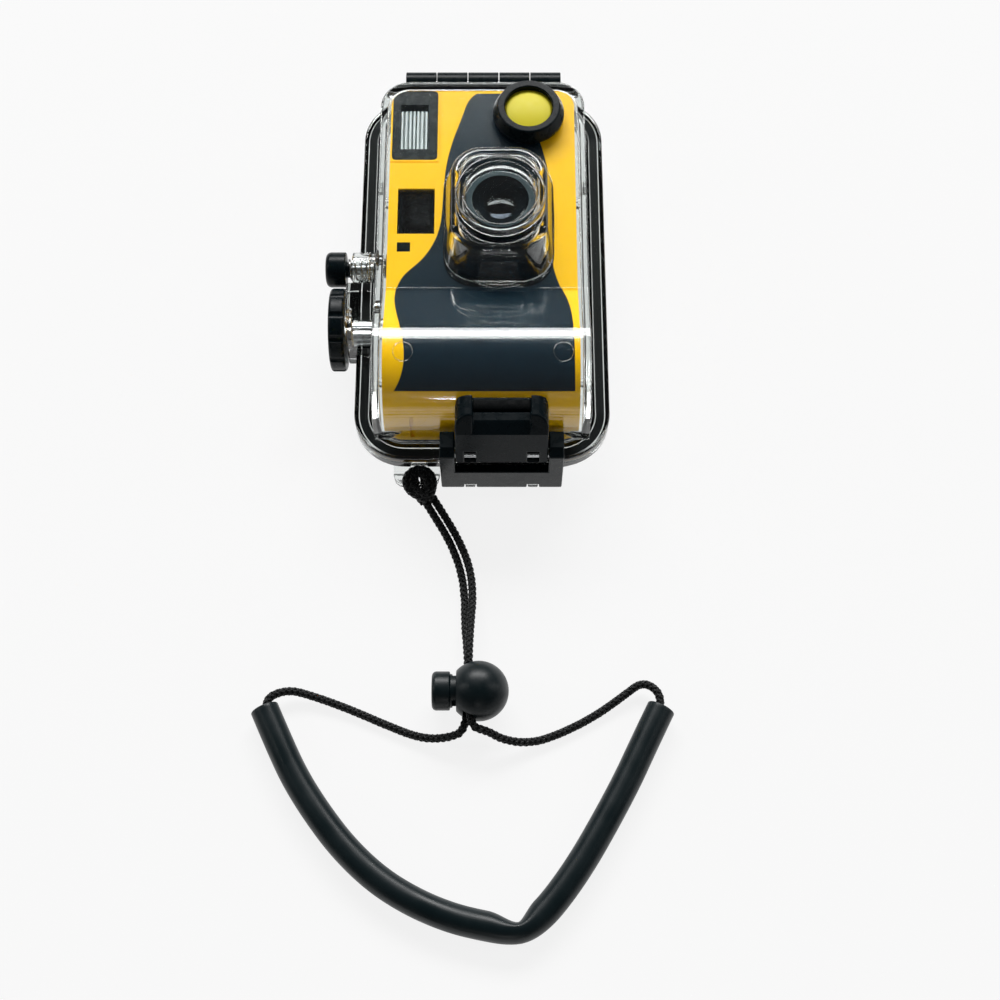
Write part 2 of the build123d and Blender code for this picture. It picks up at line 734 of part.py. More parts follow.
with BuildPart() as latch_lever:
    with BuildSketch(Plane.YZ.offset(lever_low)) as lever_side:
        with BuildLine():
            Polyline((lever_axis_y - lever_barrel, lever_axis_z), (lever_face_y, lever_face_z),
                     (lever_brow_y, (lever_brow_z + lever_ear_top) / 2), (lever_ledge_outer, lever_ear_top),
                     (lever_tip_y, lever_ear_top), (lever_tip_y, grip_axis_z), (arm_tip_y, grip_axis_z),
                     (arm_tip_y, lever_axis_z), (lever_axis_y + lever_cam_width / 2, lever_axis_z - lever_cam_reach),
                     (lever_axis_y - lever_cam_width / 2, lever_axis_z - lever_cam_reach), close=True)
        make_face()
        with Locations((grip_axis_y, grip_axis_z)):
            Circle(lever_clear_radius, mode=Mode.SUBTRACT)
    extrude(lever_side.sketch, amount=lever_high - lever_low)
    fillet(latch_lever.edges().filter_by(Axis.Y).group_by(Axis.Z)[-1], lever_ear_round)
    with BuildSketch(Plane.YZ.offset(lever_low + lever_ear)) as lever_scoop:
        with BuildLine():
            Polyline((lever_brow_y, lever_brow_z), (lever_ledge_outer, lever_ledge),
                     (lever_ledge_inner, lever_ledge), (lever_ledge_inner, grip_axis_z),
                     (lever_ledge_inner + lever_barrel, grip_axis_z), (lever_ledge_inner + lever_barrel, lever_back_top),
                     (lever_tip_y + overrun, lever_back_top), (lever_tip_y + overrun, lever_ear_top + overrun),
                     (lever_face_y, lever_ear_top + overrun), (lever_face_y, lever_face_z), close=True)
        make_face()
        with BuildLine():
            Polyline((lever_ledge_inner, grip_axis_z), (lever_ledge_inner, lever_back_top),
                     (lever_tip_y + overrun, lever_back_top), (lever_tip_y + overrun, grip_axis_z), close=True)
        make_face()
        with Locations((grip_axis_y, grip_axis_z)):
            Circle(lever_clear_radius + lever_back_thick, mode=Mode.SUBTRACT)
        with Locations((lever_tip_y, lever_back_top + overrun / 2)):
            Rectangle(2 * overrun, overrun)
    extrude(lever_scoop.sketch, amount=lever_high - lever_low - 2 * lever_ear, mode=Mode.SUBTRACT)
    rod_x(latch_pin_radius + running_gap, lever_low - overrun, lever_high + overrun, lever_axis_y, lever_axis_z,
          mode=Mode.SUBTRACT)
    for side in (-1, 1):
        window_x = latch_x + side * lever_window_offset
        box_between((window_x - lever_window_width / 2, latch_outer_y - overrun, lever_window_low),
                    (window_x + lever_window_width / 2, arm_tip_y + overrun, lever_window_high),
                    mode=Mode.SUBTRACT)
save(latch_lever, "latch_lever")

# Advance knob with its shaft, seal, screw and drive gear
knob_inner_x = knob_boss_end - seat_gap
knob_outer_x = knob_inner_x - knob_thick
shaft_outer_x = knob_outer_x + 2 * knob_screw_head_thick
gear_end_x = gear_plane_x + gear_thick
wheel_distance = hypot(knob_y - grip_axis_y, knob_z - grip_axis_z)
drive_radius = wheel_distance * drive_teeth / (drive_teeth + wheel_teeth)
wheel_radius = wheel_distance * wheel_teeth / (drive_teeth + wheel_teeth)
mesh_angle = degrees(atan2(knob_z - grip_axis_z, knob_y - grip_axis_y))

with BuildPart() as advance_knob:
    rod_x(knob_radius, knob_outer_x, knob_inner_x, knob_y, knob_z)
    fillet(advance_knob.edges().filter_by(GeomType.CIRCLE), knob_edge_round)
    with BuildSketch(Plane.YZ.offset(knob_outer_x - overrun)) as grips:
        with Locations((knob_y, knob_z)):
            with PolarLocations(knob_radius + knob_grip_radius - knob_grip_depth, knob_grips):
                Circle(knob_grip_radius)
    extrude(grips.sketch, amount=knob_thick + 2 * overrun, mode=Mode.SUBTRACT)
    with BuildSketch(Plane.YZ.offset(knob_outer_x)) as dish:
        with Locations((knob_y, knob_z)):
            Circle(knob_radius - 2 * knob_grip_radius)
            Circle(knob_hub_radius, mode=Mode.SUBTRACT)
    extrude(dish.sketch, amount=knob_edge_round, mode=Mode.SUBTRACT)
    rod_x(knob_screw_head_radius + press_gap, knob_outer_x - overrun, knob_outer_x + knob_screw_head_thick,
          knob_y, knob_z, mode=Mode.SUBTRACT)
    rod_x(knob_screw_radius + press_gap, knob_outer_x, shaft_outer_x, knob_y, knob_z, mode=Mode.SUBTRACT)
    rod_x(knob_shaft_radius + press_gap, shaft_outer_x, knob_inner_x + overrun, knob_y, knob_z, mode=Mode.SUBTRACT)
save(advance_knob, "advance_knob")

with BuildPart() as knob_shaft:
    rod_x(knob_shaft_radius, shaft_outer_x, gear_end_x, knob_y, knob_z)
    rod_x(knob_screw_radius + press_gap, shaft_outer_x, knob_outer_x + knob_screw_length + seat_gap, knob_y,
          knob_z, mode=Mode.SUBTRACT)
save(knob_shaft, "knob_shaft")

with BuildPart() as knob_screw:
    rod_x(knob_screw_head_radius, knob_outer_x, knob_outer_x + knob_screw_head_thick, knob_y, knob_z)
    rod_x(knob_screw_radius, knob_outer_x, knob_outer_x + knob_screw_length, knob_y, knob_z)
    for size_y, size_z in ((knob_screw_head_radius, seal_wire / 2), (seal_wire / 2, knob_screw_head_radius)):
        box_between((knob_outer_x - overrun, knob_y - size_y / 2, knob_z - size_z / 2),
                    (knob_outer_x + knob_screw_head_thick / 2, knob_y + size_y / 2, knob_z + size_z / 2),
                    mode=Mode.SUBTRACT)
save(knob_screw, "knob_screw")

with BuildPart() as knob_seal:
    seal_ring(knob_shaft_radius, knob_boss_end + seal_wire, knob_y, knob_z)
save(knob_seal, "knob_seal")

with BuildPart() as drive_gear:
    toothed_wheel(drive_teeth, drive_radius, gear_plane_x, gear_end_x, knob_y, knob_z, mesh_angle + 180)
    rod_x(knob_shaft_radius + press_gap, gear_plane_x - overrun, gear_end_x + overrun, knob_y, knob_z,
          mode=Mode.SUBTRACT)
save(drive_gear, "drive_gear")

# Shutter plunger: cap, shaft, seal, spring and retaining clip
clip_x = side_wall_x(plunger_z + clip_radius, wall) + running_gap
plunger_end_x = clip_x + clip_thick + seat_gap / 2
cap_bore_x = (cap_outer_end + cap_inner_end) / 2

with BuildPart() as shutter_cap:
    rod_x(cap_radius, cap_outer_end, cap_inner_end, plunger_y, plunger_z)
    fillet(shutter_cap.edges().filter_by(GeomType.CIRCLE).sort_by(Axis.X)[0], cap_round)
    rod_x(cap_neck_radius, cap_inner_end, cap_inner_end + cap_round, plunger_y, plunger_z)
    rod_x(plunger_shaft_radius + press_gap, cap_bore_x, cap_inner_end + overrun, plunger_y, plunger_z,
          mode=Mode.SUBTRACT)
save(shutter_cap, "shutter_cap")

with BuildPart() as shutter_plunger:
    rod_x(plunger_shaft_radius, cap_bore_x, plunger_end_x, plunger_y, plunger_z)
save(shutter_plunger, "shutter_plunger")

with BuildPart() as plunger_seal:
    seal_ring(plunger_shaft_radius, plunger_seal_x, plunger_y, plunger_z)
save(plunger_seal, "plunger_seal")

with BuildPart() as plunger_clip:
    rod_x(clip_radius, clip_x, clip_x + clip_thick, plunger_y, plunger_z)
    rod_x(plunger_shaft_radius + press_gap, clip_x - overrun, clip_x + overrun, plunger_y, plunger_z,
          mode=Mode.SUBTRACT)
    box_between((clip_x - overrun, plunger_y - clip_mouth / 2, plunger_z),
                (clip_x + overrun, plunger_y + clip_mouth / 2, plunger_z + 2 * clip_radius), mode=Mode.SUBTRACT)
save(plunger_clip, "plunger_clip")


def coil_path(radius, turns, start, end, parts_per_turn=8):
    """Joined arcs that follow a helix about a line through two points, and the tangent at its start."""
    axis = Vector(*end) - Vector(*start)
    length = axis.length
    along = axis.normalized()
    across = along.cross(Vector(0, 1, 0)).normalized()
    third = along.cross(across)
    steps = turns * parts_per_turn
    rise = length / (2 * pi * turns)

    def place(step):
        angle = 2 * pi * step / parts_per_turn
        return (Vector(*start) + across * (radius * cos(angle)) + third * (radius * sin(angle))
                + along * (length * step / steps))

    def heading(step):
        angle = 2 * pi * step / parts_per_turn
        return (third * (radius * cos(angle)) - across * (radius * sin(angle)) + along * rise).normalized()

    edges = []
    for step in range(steps):
        first, last = place(step), place(step + 1)
        t_first, t_last = heading(step), heading(step + 1)
        chord = last - first
        total = t_first + t_last
        spread = 2 * (1 - t_first.dot(t_last))
        reach = (-chord.dot(total) + sqrt(chord.dot(total) ** 2 + spread * chord.dot(chord))) / spread
        near = first + t_first * reach
        far = last - t_last * reach
        joint = (near + far) / 2
        edges.append(Edge.make_tangent_arc(first, t_first, joint))
        edges.append(Edge.make_tangent_arc(joint, (far - near).normalized(), last))
    return Wire(edges), heading(0), place(0)


def coil_gap(radius, turns, length, wire):
    """Least gap between neighbouring turns, measured on points of the helix."""
    points_per_turn = 36
    points = [(radius * cos(2 * pi * i / points_per_turn), radius * sin(2 * pi * i / points_per_turn),
               length * i / (points_per_turn * turns)) for i in range(points_per_turn * turns + 1)]
    least = min(hypot(a[0] - b[0], a[1] - b[1], a[2] - b[2]) for i, a in enumerate(points)
                for b in points[i + points_per_turn // 2:])
    return least - wire


def coil_spring(radius, turns, start, end, wire):
    """Spring wire wound about the line between two points."""
    path, heading, origin = coil_path(radius, turns, start, end)
    with BuildSketch(Plane(origin=origin, z_dir=heading)) as section:
        Circle(wire / 2)
    sweep(section.sketch, path=path)
    print("coil gap", round(coil_gap(radius, turns, (Vector(*end) - Vector(*start)).length, wire), 2))


with BuildPart() as plunger_spring:
    coil_spring(spring_radius, spring_turns,
                (plunger_pocket_end - spring_wire / 2 - press_gap, plunger_y, plunger_z),
                (cap_inner_end + spring_wire / 2 + press_gap, plunger_y, plunger_z), spring_wire)
save(plunger_spring, "plunger_spring")

# Flash button: ring on the front face, rubber cap and pusher
flash_plane = Plane(origin=(flash_x, flash_y, 0), x_dir=(1, 0, 0), z_dir=(0, -1, 0))
flash_axis = Axis((flash_x, flash_y, 0), (0, 0, 1))
flash_cap_low = front_face + flash_travel + seat_gap
lip_z = flash_cap_low + flash_cap_skirt_thick + seat_gap
pusher_tip = front_face - wall - running_gap
ring_edge = ring_foot_radius - ring_head_radius

with BuildPart() as flash_button_ring:
    with BuildSketch(flash_plane):
        with BuildLine():
            Polyline((flash_cap_skirt + seat_gap, front_face), (ring_foot_radius, front_face),
                     (ring_foot_radius, front_face + ring_edge), (ring_head_radius, ring_top),
                     (ring_bore_radius + seat_gap, ring_top), (ring_bore_radius, ring_top - seat_gap),
                     (ring_bore_radius, lip_z), (flash_cap_skirt + seat_gap, lip_z), close=True)
        make_face()
    revolve(axis=flash_axis)
    fillet(flash_button_ring.edges().filter_by(GeomType.CIRCLE).filter_by(
        lambda edge: abs(edge.radius - ring_head_radius) < seat_gap), ring_edge / 2)
save(flash_button_ring, "flash_button_ring")

with BuildPart() as flash_button_cap:
    domed_disc(flash_cap_radius, flash_cap_low, flash_cap_edge, flash_cap_radius - seat_gap, flash_cap_crown,
               flash_x, flash_y)
    rod_z(flash_cap_skirt, flash_cap_low, flash_cap_low + flash_cap_skirt_thick, flash_x, flash_y)
save(flash_button_cap, "flash_button_cap")

with BuildPart() as flash_pusher:
    rod_z(pusher_radius, pusher_tip, flash_cap_low, flash_x, flash_y)
save(flash_pusher, "flash_pusher")

# Camera covers, inlaid front panel and lens housing
camera_form = grip_form(camera_inset, camera_width, camera_length, camera_corner, camera_back, camera_front,
                        shift=camera_shift)
camera_room = grip_form(camera_inset + cover_wall, camera_width - 2 * cover_wall, camera_length - 2 * cover_wall,
                        camera_corner - cover_wall, camera_back + cover_wall, camera_front - cover_wall,
                        shift=camera_shift)
panel_floor = grip_form(camera_inset + inlay_depth, camera_width, camera_length, camera_corner, camera_back,
                        camera_front - inlay_depth, shift=camera_shift)
room_low = camera_back + cover_wall
room_top = camera_front - cover_wall
room_side = camera_half - cover_wall
switch_hole = switch_radius + running_gap
release_face = plunger_end_x + press_gap
foot_share = (camera_front - front_face + 2 * wall) / (box_top - front_face + wall)
housing_foot_centre = tuple(foot + (head - foot) * foot_share for foot, head in zip(box_foot_centre, box_head_centre))
board_top = board_bottom + board_thick
lens_seat = housing_throat_z - lens_ring_thick
lens_low = lens_seat - camera_lens_thick
finder_x = (finder_low[0] + finder_high[0]) / 2
finder_y = (finder_low[1] + finder_high[1]) / 2
finder_lens_low = camera_front - finder_lens_sink - finder_lens_thick

panel_left = ((-1.7, 50.4), (-4.2, 47.5), (-5.5, 43.7), (-8.2, 35.0), (-10.1, 26.5), (-11.2, 12.2), (-11.9, 4.9),
              (-13.8, -0.8), (-17.6, -6.5), (-21.6, -10.7), (-23.4, -14.6), (-23.8, -20.0), (-23.3, -46.9))
panel_right = ((5.0, 50.4), (10.8, 46.0), (15.0, 38.0), (18.4, 25.0), (20.0, 13.0), (20.0, 2.0), (19.6, -6.0),
               (20.8, -12.0), (23.0, -18.0), (24.6, -28.0), (25.0, -46.9))

with BuildPart() as front_panel:
    add(camera_form)
    add(panel_floor, mode=Mode.SUBTRACT)
    with BuildSketch(Plane.XY.offset(camera_split)) as panel_outline:
        with BuildLine():
            left_edge = Spline(*panel_left)
            right_edge = Spline(*panel_right)
            Line(left_edge @ 0, right_edge @ 0)
            Line(left_edge @ 1, right_edge @ 1)
        make_face()
    extrude(panel_outline.sketch, amount=2 * grip_radius, mode=Mode.INTERSECT)
    slab((housing_foot[0] + press_gap, housing_foot[1] + press_gap), housing_corner, camera_split, front_face,
         centre=housing_foot_centre, mode=Mode.SUBTRACT)
    rod_z(switch_hole, camera_split, front_face, flash_x, flash_y, mode=Mode.SUBTRACT)
save(front_panel, "front_panel")

finder_size = (finder_high[0] - finder_low[0], finder_high[1] - finder_low[1])
frame_size = (flash_frame_high[0] - flash_frame_low[0], flash_frame_high[1] - flash_frame_low[1])
frame_centre = ((flash_frame_high[0] + flash_frame_low[0]) / 2, (flash_frame_high[1] + flash_frame_low[1]) / 2)
neck_low = (diffuser_low[0] - flash_frame_lip, diffuser_low[1] - flash_frame_lip)
neck_high = (diffuser_high[0] + flash_frame_lip, diffuser_recess_end + flash_frame_lip)
neck_size = (neck_high[0] - neck_low[0], neck_high[1] - neck_low[1])
neck_centre = ((neck_high[0] + neck_low[0]) / 2, (neck_high[1] + neck_low[1]) / 2)
frame_bottom = camera_front - flash_frame_depth
stub_end = gear_plane_x - wheel_stub
board_posts = [(x, y) for x in (board_low[0] + board_post_inset, board_high[0] - board_post_inset)
               for y in (board_low[1] + board_post_inset, board_high[1] - board_post_inset)]

with BuildPart() as camera_front_cover:
    add(camera_form)
    box_between((-camera_width, -shell_length, -camera_split), (camera_width, shell_length, camera_split),
                mode=Mode.SUBTRACT)
    add(camera_room, mode=Mode.SUBTRACT)
    add(front_panel.part, mode=Mode.SUBTRACT)
    for x, y in board_posts:
        rod_z(board_post_radius, board_top, room_top + cover_wall / 2, x, y)
    rod_z(lens_hole_radius, room_top - overrun, front_face, lens_x, lens_y, mode=Mode.SUBTRACT)
    rod_z(switch_hole, room_top - overrun, front_face, flash_x, flash_y, mode=Mode.SUBTRACT)
    slab(frame_size, flash_frame_corner, camera_front - inlay_depth, front_face, centre=frame_centre,
         mode=Mode.SUBTRACT)
    slab(neck_size, flash_frame_corner, frame_bottom, front_face, centre=neck_centre, mode=Mode.SUBTRACT)
    box_between((seam_x - seam_width, seam_y, camera_front - seam_width), (seam_x, camera_hinge_end, front_face),
                mode=Mode.SUBTRACT)
    box_between((-camera_half, seam_y - seam_width, camera_front - seam_width), (seam_x, seam_y, front_face),
                mode=Mode.SUBTRACT)
    box_between((slot_x - slot_width / 2, camera_end - overrun, slot_low),
                (slot_x + slot_width / 2, camera_end + slot_depth, front_face), mode=Mode.SUBTRACT)
    box_between((finder_low[0], finder_low[1], room_top - overrun), (finder_high[0], finder_high[1], front_face),
                mode=Mode.SUBTRACT)
    box_between((indicator_low[0], indicator_low[1], camera_front - inlay_depth),
                (indicator_high[0], indicator_high[1], front_face), mode=Mode.SUBTRACT)
    rod_x(release_radius + running_gap, -camera_half - overrun, -room_side + overrun, plunger_y, plunger_z,
          mode=Mode.SUBTRACT)
    rod_x(gear_access_radius, -camera_half - overrun, -room_side + overrun, knob_y, knob_z, mode=Mode.SUBTRACT)
    rod_x(wheel_stub_radius + running_gap, stub_end - running_gap, -room_side + overrun, grip_axis_y,
          grip_axis_z, mode=Mode.SUBTRACT)
    rod_x(wheel_stub_radius + running_gap, stub_end - running_gap, -room_side + overrun, dial_y, dial_z,
          mode=Mode.SUBTRACT)
    rod_x(dial_window_radius, -camera_half - overrun, -room_side + overrun,
          dial_y - dial_radius + dial_window_radius + loose_gap, dial_z, mode=Mode.SUBTRACT)
save(camera_front_cover, "camera_front_cover")

disc_low_x = gear_end_x + seat_gap
disc_high_x = disc_low_x + thumb_disc_thick
pad_top = film_plane - running_gap
eyepiece_centre = (finder_x, finder_y)

with BuildPart() as camera_rear_cover:
    add(camera_form)
    box_between((-camera_width, -shell_length, camera_split), (camera_width, shell_length, 2 * front_face),
                mode=Mode.SUBTRACT)
    add(camera_room, mode=Mode.SUBTRACT)
    box_between((film_x - film_width / 2 + perforation_inset, lens_y - gate_size[1] / 2, room_low - cover_wall / 2),
                (film_x + film_width / 2 - perforation_inset, lens_y + gate_size[1] / 2, pad_top))
    slab(eyepiece_size, flash_frame_corner, 0, camera_split, centre=eyepiece_centre, mode=Mode.SUBTRACT)
    box_between((disc_low_x - loose_gap, grip_axis_y - thumb_slot_half, 0),
                (disc_high_x + loose_gap, grip_axis_y + thumb_slot_half, camera_split), mode=Mode.SUBTRACT)
save(camera_rear_cover, "camera_rear_cover")


def cone_z(radius_low, radius_high, low, high, x, y, mode=Mode.ADD):
    """Round cone or conical bore along Z."""
    with Locations((x, y, (low + high) / 2)):
        Cone(radius_low, radius_high, high - low, mode=mode)


with BuildPart() as lens_housing:
    add(lens_box_form(0, housing_foot, housing_foot_centre, housing_head, box_head_centre, housing_corner,
                      camera_front, housing_top, housing_edge_round))
    add(lens_box_form(housing_wall, housing_foot, housing_foot_centre, housing_head, box_head_centre, housing_corner,
                      camera_front, housing_top - housing_wall, housing_edge_round / 2), mode=Mode.SUBTRACT)
    rod_z(barrel_radius, camera_front, barrel_top, lens_x, lens_y)
    cone_z(housing_throat_radius, housing_mouth_radius, housing_throat_z, barrel_top, lens_x, lens_y,
           mode=Mode.SUBTRACT)
    rod_z(housing_throat_radius, lens_seat, housing_throat_z, lens_x, lens_y, mode=Mode.SUBTRACT)
    rod_z(camera_lens_radius + press_gap, lens_low, housing_throat_z, lens_x, lens_y, mode=Mode.SUBTRACT)
    rod_z(lens_hole_radius, camera_front - overrun, housing_throat_z, lens_x, lens_y, mode=Mode.SUBTRACT)
save(lens_housing, "lens_housing")

with BuildPart() as lens_ring:
    rod_z(housing_throat_radius - press_gap, lens_seat, housing_throat_z, lens_x, lens_y)
    cone_z(lens_ring_bore, lens_ring_bore + lens_ring_thick, lens_seat, housing_throat_z, lens_x, lens_y,
           mode=Mode.SUBTRACT)
save(lens_ring, "lens_ring")

with BuildPart() as camera_lens:
    domed_disc(camera_lens_radius, lens_low, lens_seat, lens_ring_bore - seat_gap, camera_lens_crown, lens_x, lens_y)
save(camera_lens, "camera_lens")

# Viewfinder, indicator and flash windows
tunnel_low = room_low + eyepiece_sink + eyepiece_flange

with BuildPart() as viewfinder_front_lens:
    slab((finder_size[0] - 2 * press_gap, finder_size[1] - 2 * press_gap), finder_ledge, finder_lens_low,
         finder_lens_low + finder_lens_thick, centre=eyepiece_centre)
save(viewfinder_front_lens, "viewfinder_front_lens")

with BuildPart() as viewfinder_tunnel:
    slab((finder_size[0] - 2 * finder_ledge, finder_size[1] - 2 * finder_ledge), finder_wall, tunnel_low,
         finder_lens_low, centre=eyepiece_centre)
    slab((finder_size[0] - 2 * finder_ledge - 2 * finder_wall, finder_size[1] - 2 * finder_ledge - 2 * finder_wall),
         finder_wall / 2, tunnel_low + finder_wall, front_face, centre=eyepiece_centre, mode=Mode.SUBTRACT)
    slab(eyepiece_size, flash_frame_corner, 0, front_face, centre=eyepiece_centre, mode=Mode.SUBTRACT)
save(viewfinder_tunnel, "viewfinder_tunnel")

with BuildPart() as viewfinder_eyepiece:
    slab((eyepiece_size[0] - 2 * press_gap, eyepiece_size[1] - 2 * press_gap), flash_frame_corner,
         camera_back + eyepiece_sink, tunnel_low - eyepiece_flange, centre=eyepiece_centre)
    slab((eyepiece_size[0] + 2 * eyepiece_flange, eyepiece_size[1] + 2 * eyepiece_flange), flash_frame_corner,
         room_low, tunnel_low, centre=eyepiece_centre)
save(viewfinder_eyepiece, "viewfinder_eyepiece")

with BuildPart() as indicator_window:
    box_between((indicator_low[0] + press_gap, indicator_low[1] + press_gap, camera_front - inlay_depth),
                (indicator_high[0] - press_gap, indicator_high[1] - press_gap, camera_front))
save(indicator_window, "indicator_window")

with BuildPart() as flash_frame:
    slab((frame_size[0] - 2 * press_gap, frame_size[1] - 2 * press_gap), flash_frame_corner,
         camera_front - inlay_depth, camera_front, centre=frame_centre)
    slab((neck_size[0] - 2 * press_gap, neck_size[1] - 2 * press_gap), flash_frame_corner, frame_bottom,
         camera_front, centre=neck_centre)
    box_between((diffuser_low[0], diffuser_low[1], frame_bottom - overrun),
                (diffuser_high[0], diffuser_high[1], front_face), mode=Mode.SUBTRACT)
    side_prism(((diffuser_high[1] - overrun, frame_bottom), (diffuser_high[1], frame_bottom),
                (diffuser_recess_end, camera_front), (diffuser_high[1] - overrun, camera_front)),
               diffuser_low[0], diffuser_high[0], mode=Mode.SUBTRACT)
    add(camera_form, mode=Mode.INTERSECT)
save(flash_frame, "flash_frame")

diffuser_length = diffuser_high[1] - diffuser_low[1]

with BuildPart() as flash_diffuser:
    box_between((diffuser_low[0] + press_gap, diffuser_low[1] + press_gap, frame_bottom),
                (diffuser_high[0] - press_gap, diffuser_high[1] - press_gap, frame_bottom + diffuser_thick))
    for index in range(diffuser_ribs):
        rib_middle = diffuser_low[0] + (diffuser_high[0] - diffuser_low[0]) * (index + 1) / (diffuser_ribs + 1)
        with BuildSketch(Plane.XZ.offset(-diffuser_high[1] + press_gap)) as rib_outline:
            with Locations((rib_middle, frame_bottom + diffuser_thick)):
                Polygon((-diffuser_rib_height, 0), (diffuser_rib_height, 0), (0, diffuser_rib_height), align=None)
        extrude(rib_outline.sketch, amount=diffuser_length - 2 * press_gap)
save(flash_diffuser, "flash_diffuser")

diffuser_x = (diffuser_low[0] + diffuser_high[0]) / 2
reflector_half = (diffuser_high[0] - diffuser_low[0]) / 2 + reflector_wall
reflector_low = frame_bottom - reflector_depth
tube_z = reflector_low + reflector_wall + flash_tube_radius + press_gap
tube_middle = diffuser_low[1] + diffuser_length / 2


def trough(half, top, low, slope_share=0.55, mode=Mode.ADD):
    """Channel along Y that narrows downwards."""
    with BuildSketch(Plane.XZ.offset(-diffuser_high[1])) as outline:
        with Locations((diffuser_x, 0)):
            Polygon((-half, top), (-half * slope_share, low), (half * slope_share, low), (half, top), align=None)
    extrude(outline.sketch, amount=diffuser_length, mode=mode)


with BuildPart() as flash_reflector:
    trough(reflector_half, frame_bottom, reflector_low)
    trough(reflector_half - reflector_wall, frame_bottom, reflector_low + reflector_wall, mode=Mode.SUBTRACT)
save(flash_reflector, "flash_reflector")

with BuildPart() as flash_tube:
    rod_y(flash_tube_radius, tube_middle - flash_tube_length / 2, tube_middle + flash_tube_length / 2, diffuser_x,
          tube_z)
save(flash_tube, "flash_tube")

# Chassis with the film gate, lens tunnel, walls and bearings
film_top = film_plane + film_thick
plate_low = film_top + running_gap
plate_top = plate_low + chassis_plate
chassis_half = room_side - seat_gap
film_left = film_x - film_width / 2
film_right = film_x + film_width / 2
gate_centre = (film_x, lens_y)
tunnel_foot = (gate_size[0] + 2 * tunnel_foot_margin, gate_size[1] + 2 * tunnel_foot_margin)
sprocket_z = film_top + seat_gap + sprocket_tip
sprocket_x = film_left + perforation_inset
roll_z = film_top + running_gap + roll_radius
bearing_hole = bearing_pin_radius + running_gap
wall_left = disc_high_x + 2 * seat_gap
blade_pivot_x = lens_x - blade_pivot_offset

with BuildPart() as chassis:
    box_between((-chassis_half, can_wall_y - chassis_wall, plate_low), (chassis_half, roll_wall_y + chassis_wall,
                                                                       plate_top))
    box_between((-chassis_half, can_wall_y, room_low), (-chassis_half + chassis_wall / 2, roll_wall_y, plate_low))
    box_between((film_right + seat_gap, can_wall_y, room_low), (chassis_half, roll_wall_y, plate_low))
    box_between((wall_left, can_wall_y - chassis_wall, plate_low), (chassis_half, can_wall_y, chassis_wall_top))
    box_between((-chassis_half, roll_wall_y, plate_low), (chassis_half, roll_wall_y + chassis_wall,
                                                          chassis_wall_top))
    with BuildSketch(Plane.XY.offset(plate_low)) as foot_outline:
        with Locations(gate_centre):
            Rectangle(*tunnel_foot)
    with BuildSketch(Plane.XY.offset(tunnel_top)) as head_outline:
        with Locations((lens_x, lens_y)):
            Rectangle(tunnel_head + 2 * tunnel_wall, tunnel_head + 2 * tunnel_wall)
    loft([foot_outline.sketch, head_outline.sketch])
    slab((blade_plate, blade_plate), finder_wall, tunnel_top, tunnel_top + shutter_plate, centre=(lens_x, lens_y))
    with BuildSketch(Plane.XY.offset(plate_low)) as gate_outline:
        with Locations(gate_centre):
            Rectangle(*gate_size)
    with BuildSketch(Plane.XY.offset(tunnel_top)) as throat_outline:
        with Locations((lens_x, lens_y)):
            Rectangle(tunnel_head, tunnel_head)
    loft([gate_outline.sketch, throat_outline.sketch], mode=Mode.SUBTRACT)
    rod_z(aperture_radius, tunnel_top - overrun, front_face, lens_x, lens_y, mode=Mode.SUBTRACT)
    rod_z(blade_pin_radius, tunnel_top, blade_z + blade_thick + blade_pin_rise, blade_pivot_x, lens_y)
    for side in (-1, 1):
        bearing_x = film_x + side * (film_width / 2 + seat_gap + bearing_thick / 2)
        side_prism(((roll_wall_y, roll_z - bearing_margin - bearing_pin_radius),
                    (roll_y + bearing_pin_radius + bearing_margin, roll_z - bearing_margin - bearing_pin_radius),
                    (roll_y + bearing_pin_radius + bearing_margin, roll_z + bearing_margin + bearing_pin_radius),
                    (roll_wall_y, roll_z + bearing_margin + bearing_pin_radius)),
                   bearing_x - bearing_thick / 2, bearing_x + bearing_thick / 2)
        rod_x(bearing_hole, bearing_x - bearing_thick, bearing_x + bearing_thick, roll_y, roll_z, mode=Mode.SUBTRACT)
    box_between((sprocket_x - sprocket_wheel / 2 - seat_gap, sprocket_y - sprocket_tip - seat_gap, 0),
                (sprocket_x + sprocket_wheel / 2 + seat_gap, sprocket_y + sprocket_tip + seat_gap, plate_top),
                mode=Mode.SUBTRACT)
    for side in (-1, 1):
        bearing_x = sprocket_x + side * (sprocket_wheel / 2 + seat_gap + bearing_thick / 2)
        box_between((bearing_x - bearing_thick / 2, sprocket_y - sprocket_tip, plate_low),
                    (bearing_x + bearing_thick / 2, sprocket_y + sprocket_tip, sprocket_z + sprocket_tip))
        rod_x(sprocket_shaft_radius + running_gap, bearing_x - bearing_thick, bearing_x + bearing_thick, sprocket_y,
              sprocket_z, mode=Mode.SUBTRACT)
    slab(finder_size, finder_ledge, 0, front_face, centre=eyepiece_centre, mode=Mode.SUBTRACT)
save(chassis, "chassis")

# Shutter blade, camera shutter button and flash switch
with BuildPart() as shutter_blade:
    rod_z(blade_disc_radius, blade_z, blade_z + blade_thick, lens_x, lens_y)
    rod_z(blade_hub_radius, blade_z, blade_z + blade_thick, blade_pivot_x, lens_y)
    box_between((blade_pivot_x, lens_y - blade_hub_radius / 2, blade_z),
                (lens_x, lens_y + blade_hub_radius / 2, blade_z + blade_thick))
    rod_z(blade_pin_radius + running_gap, blade_z - overrun, blade_z + overrun, blade_pivot_x, lens_y,
          mode=Mode.SUBTRACT)
save(shutter_blade, "shutter_blade")

with BuildPart() as camera_shutter_button:
    rod_x(release_radius, release_face, -room_side + running_gap + release_flange_thick, plunger_y, plunger_z)
    rod_x(release_radius + release_flange, -room_side + running_gap,
          -room_side + running_gap + release_flange_thick, plunger_y, plunger_z)
save(camera_shutter_button, "camera_shutter_button")

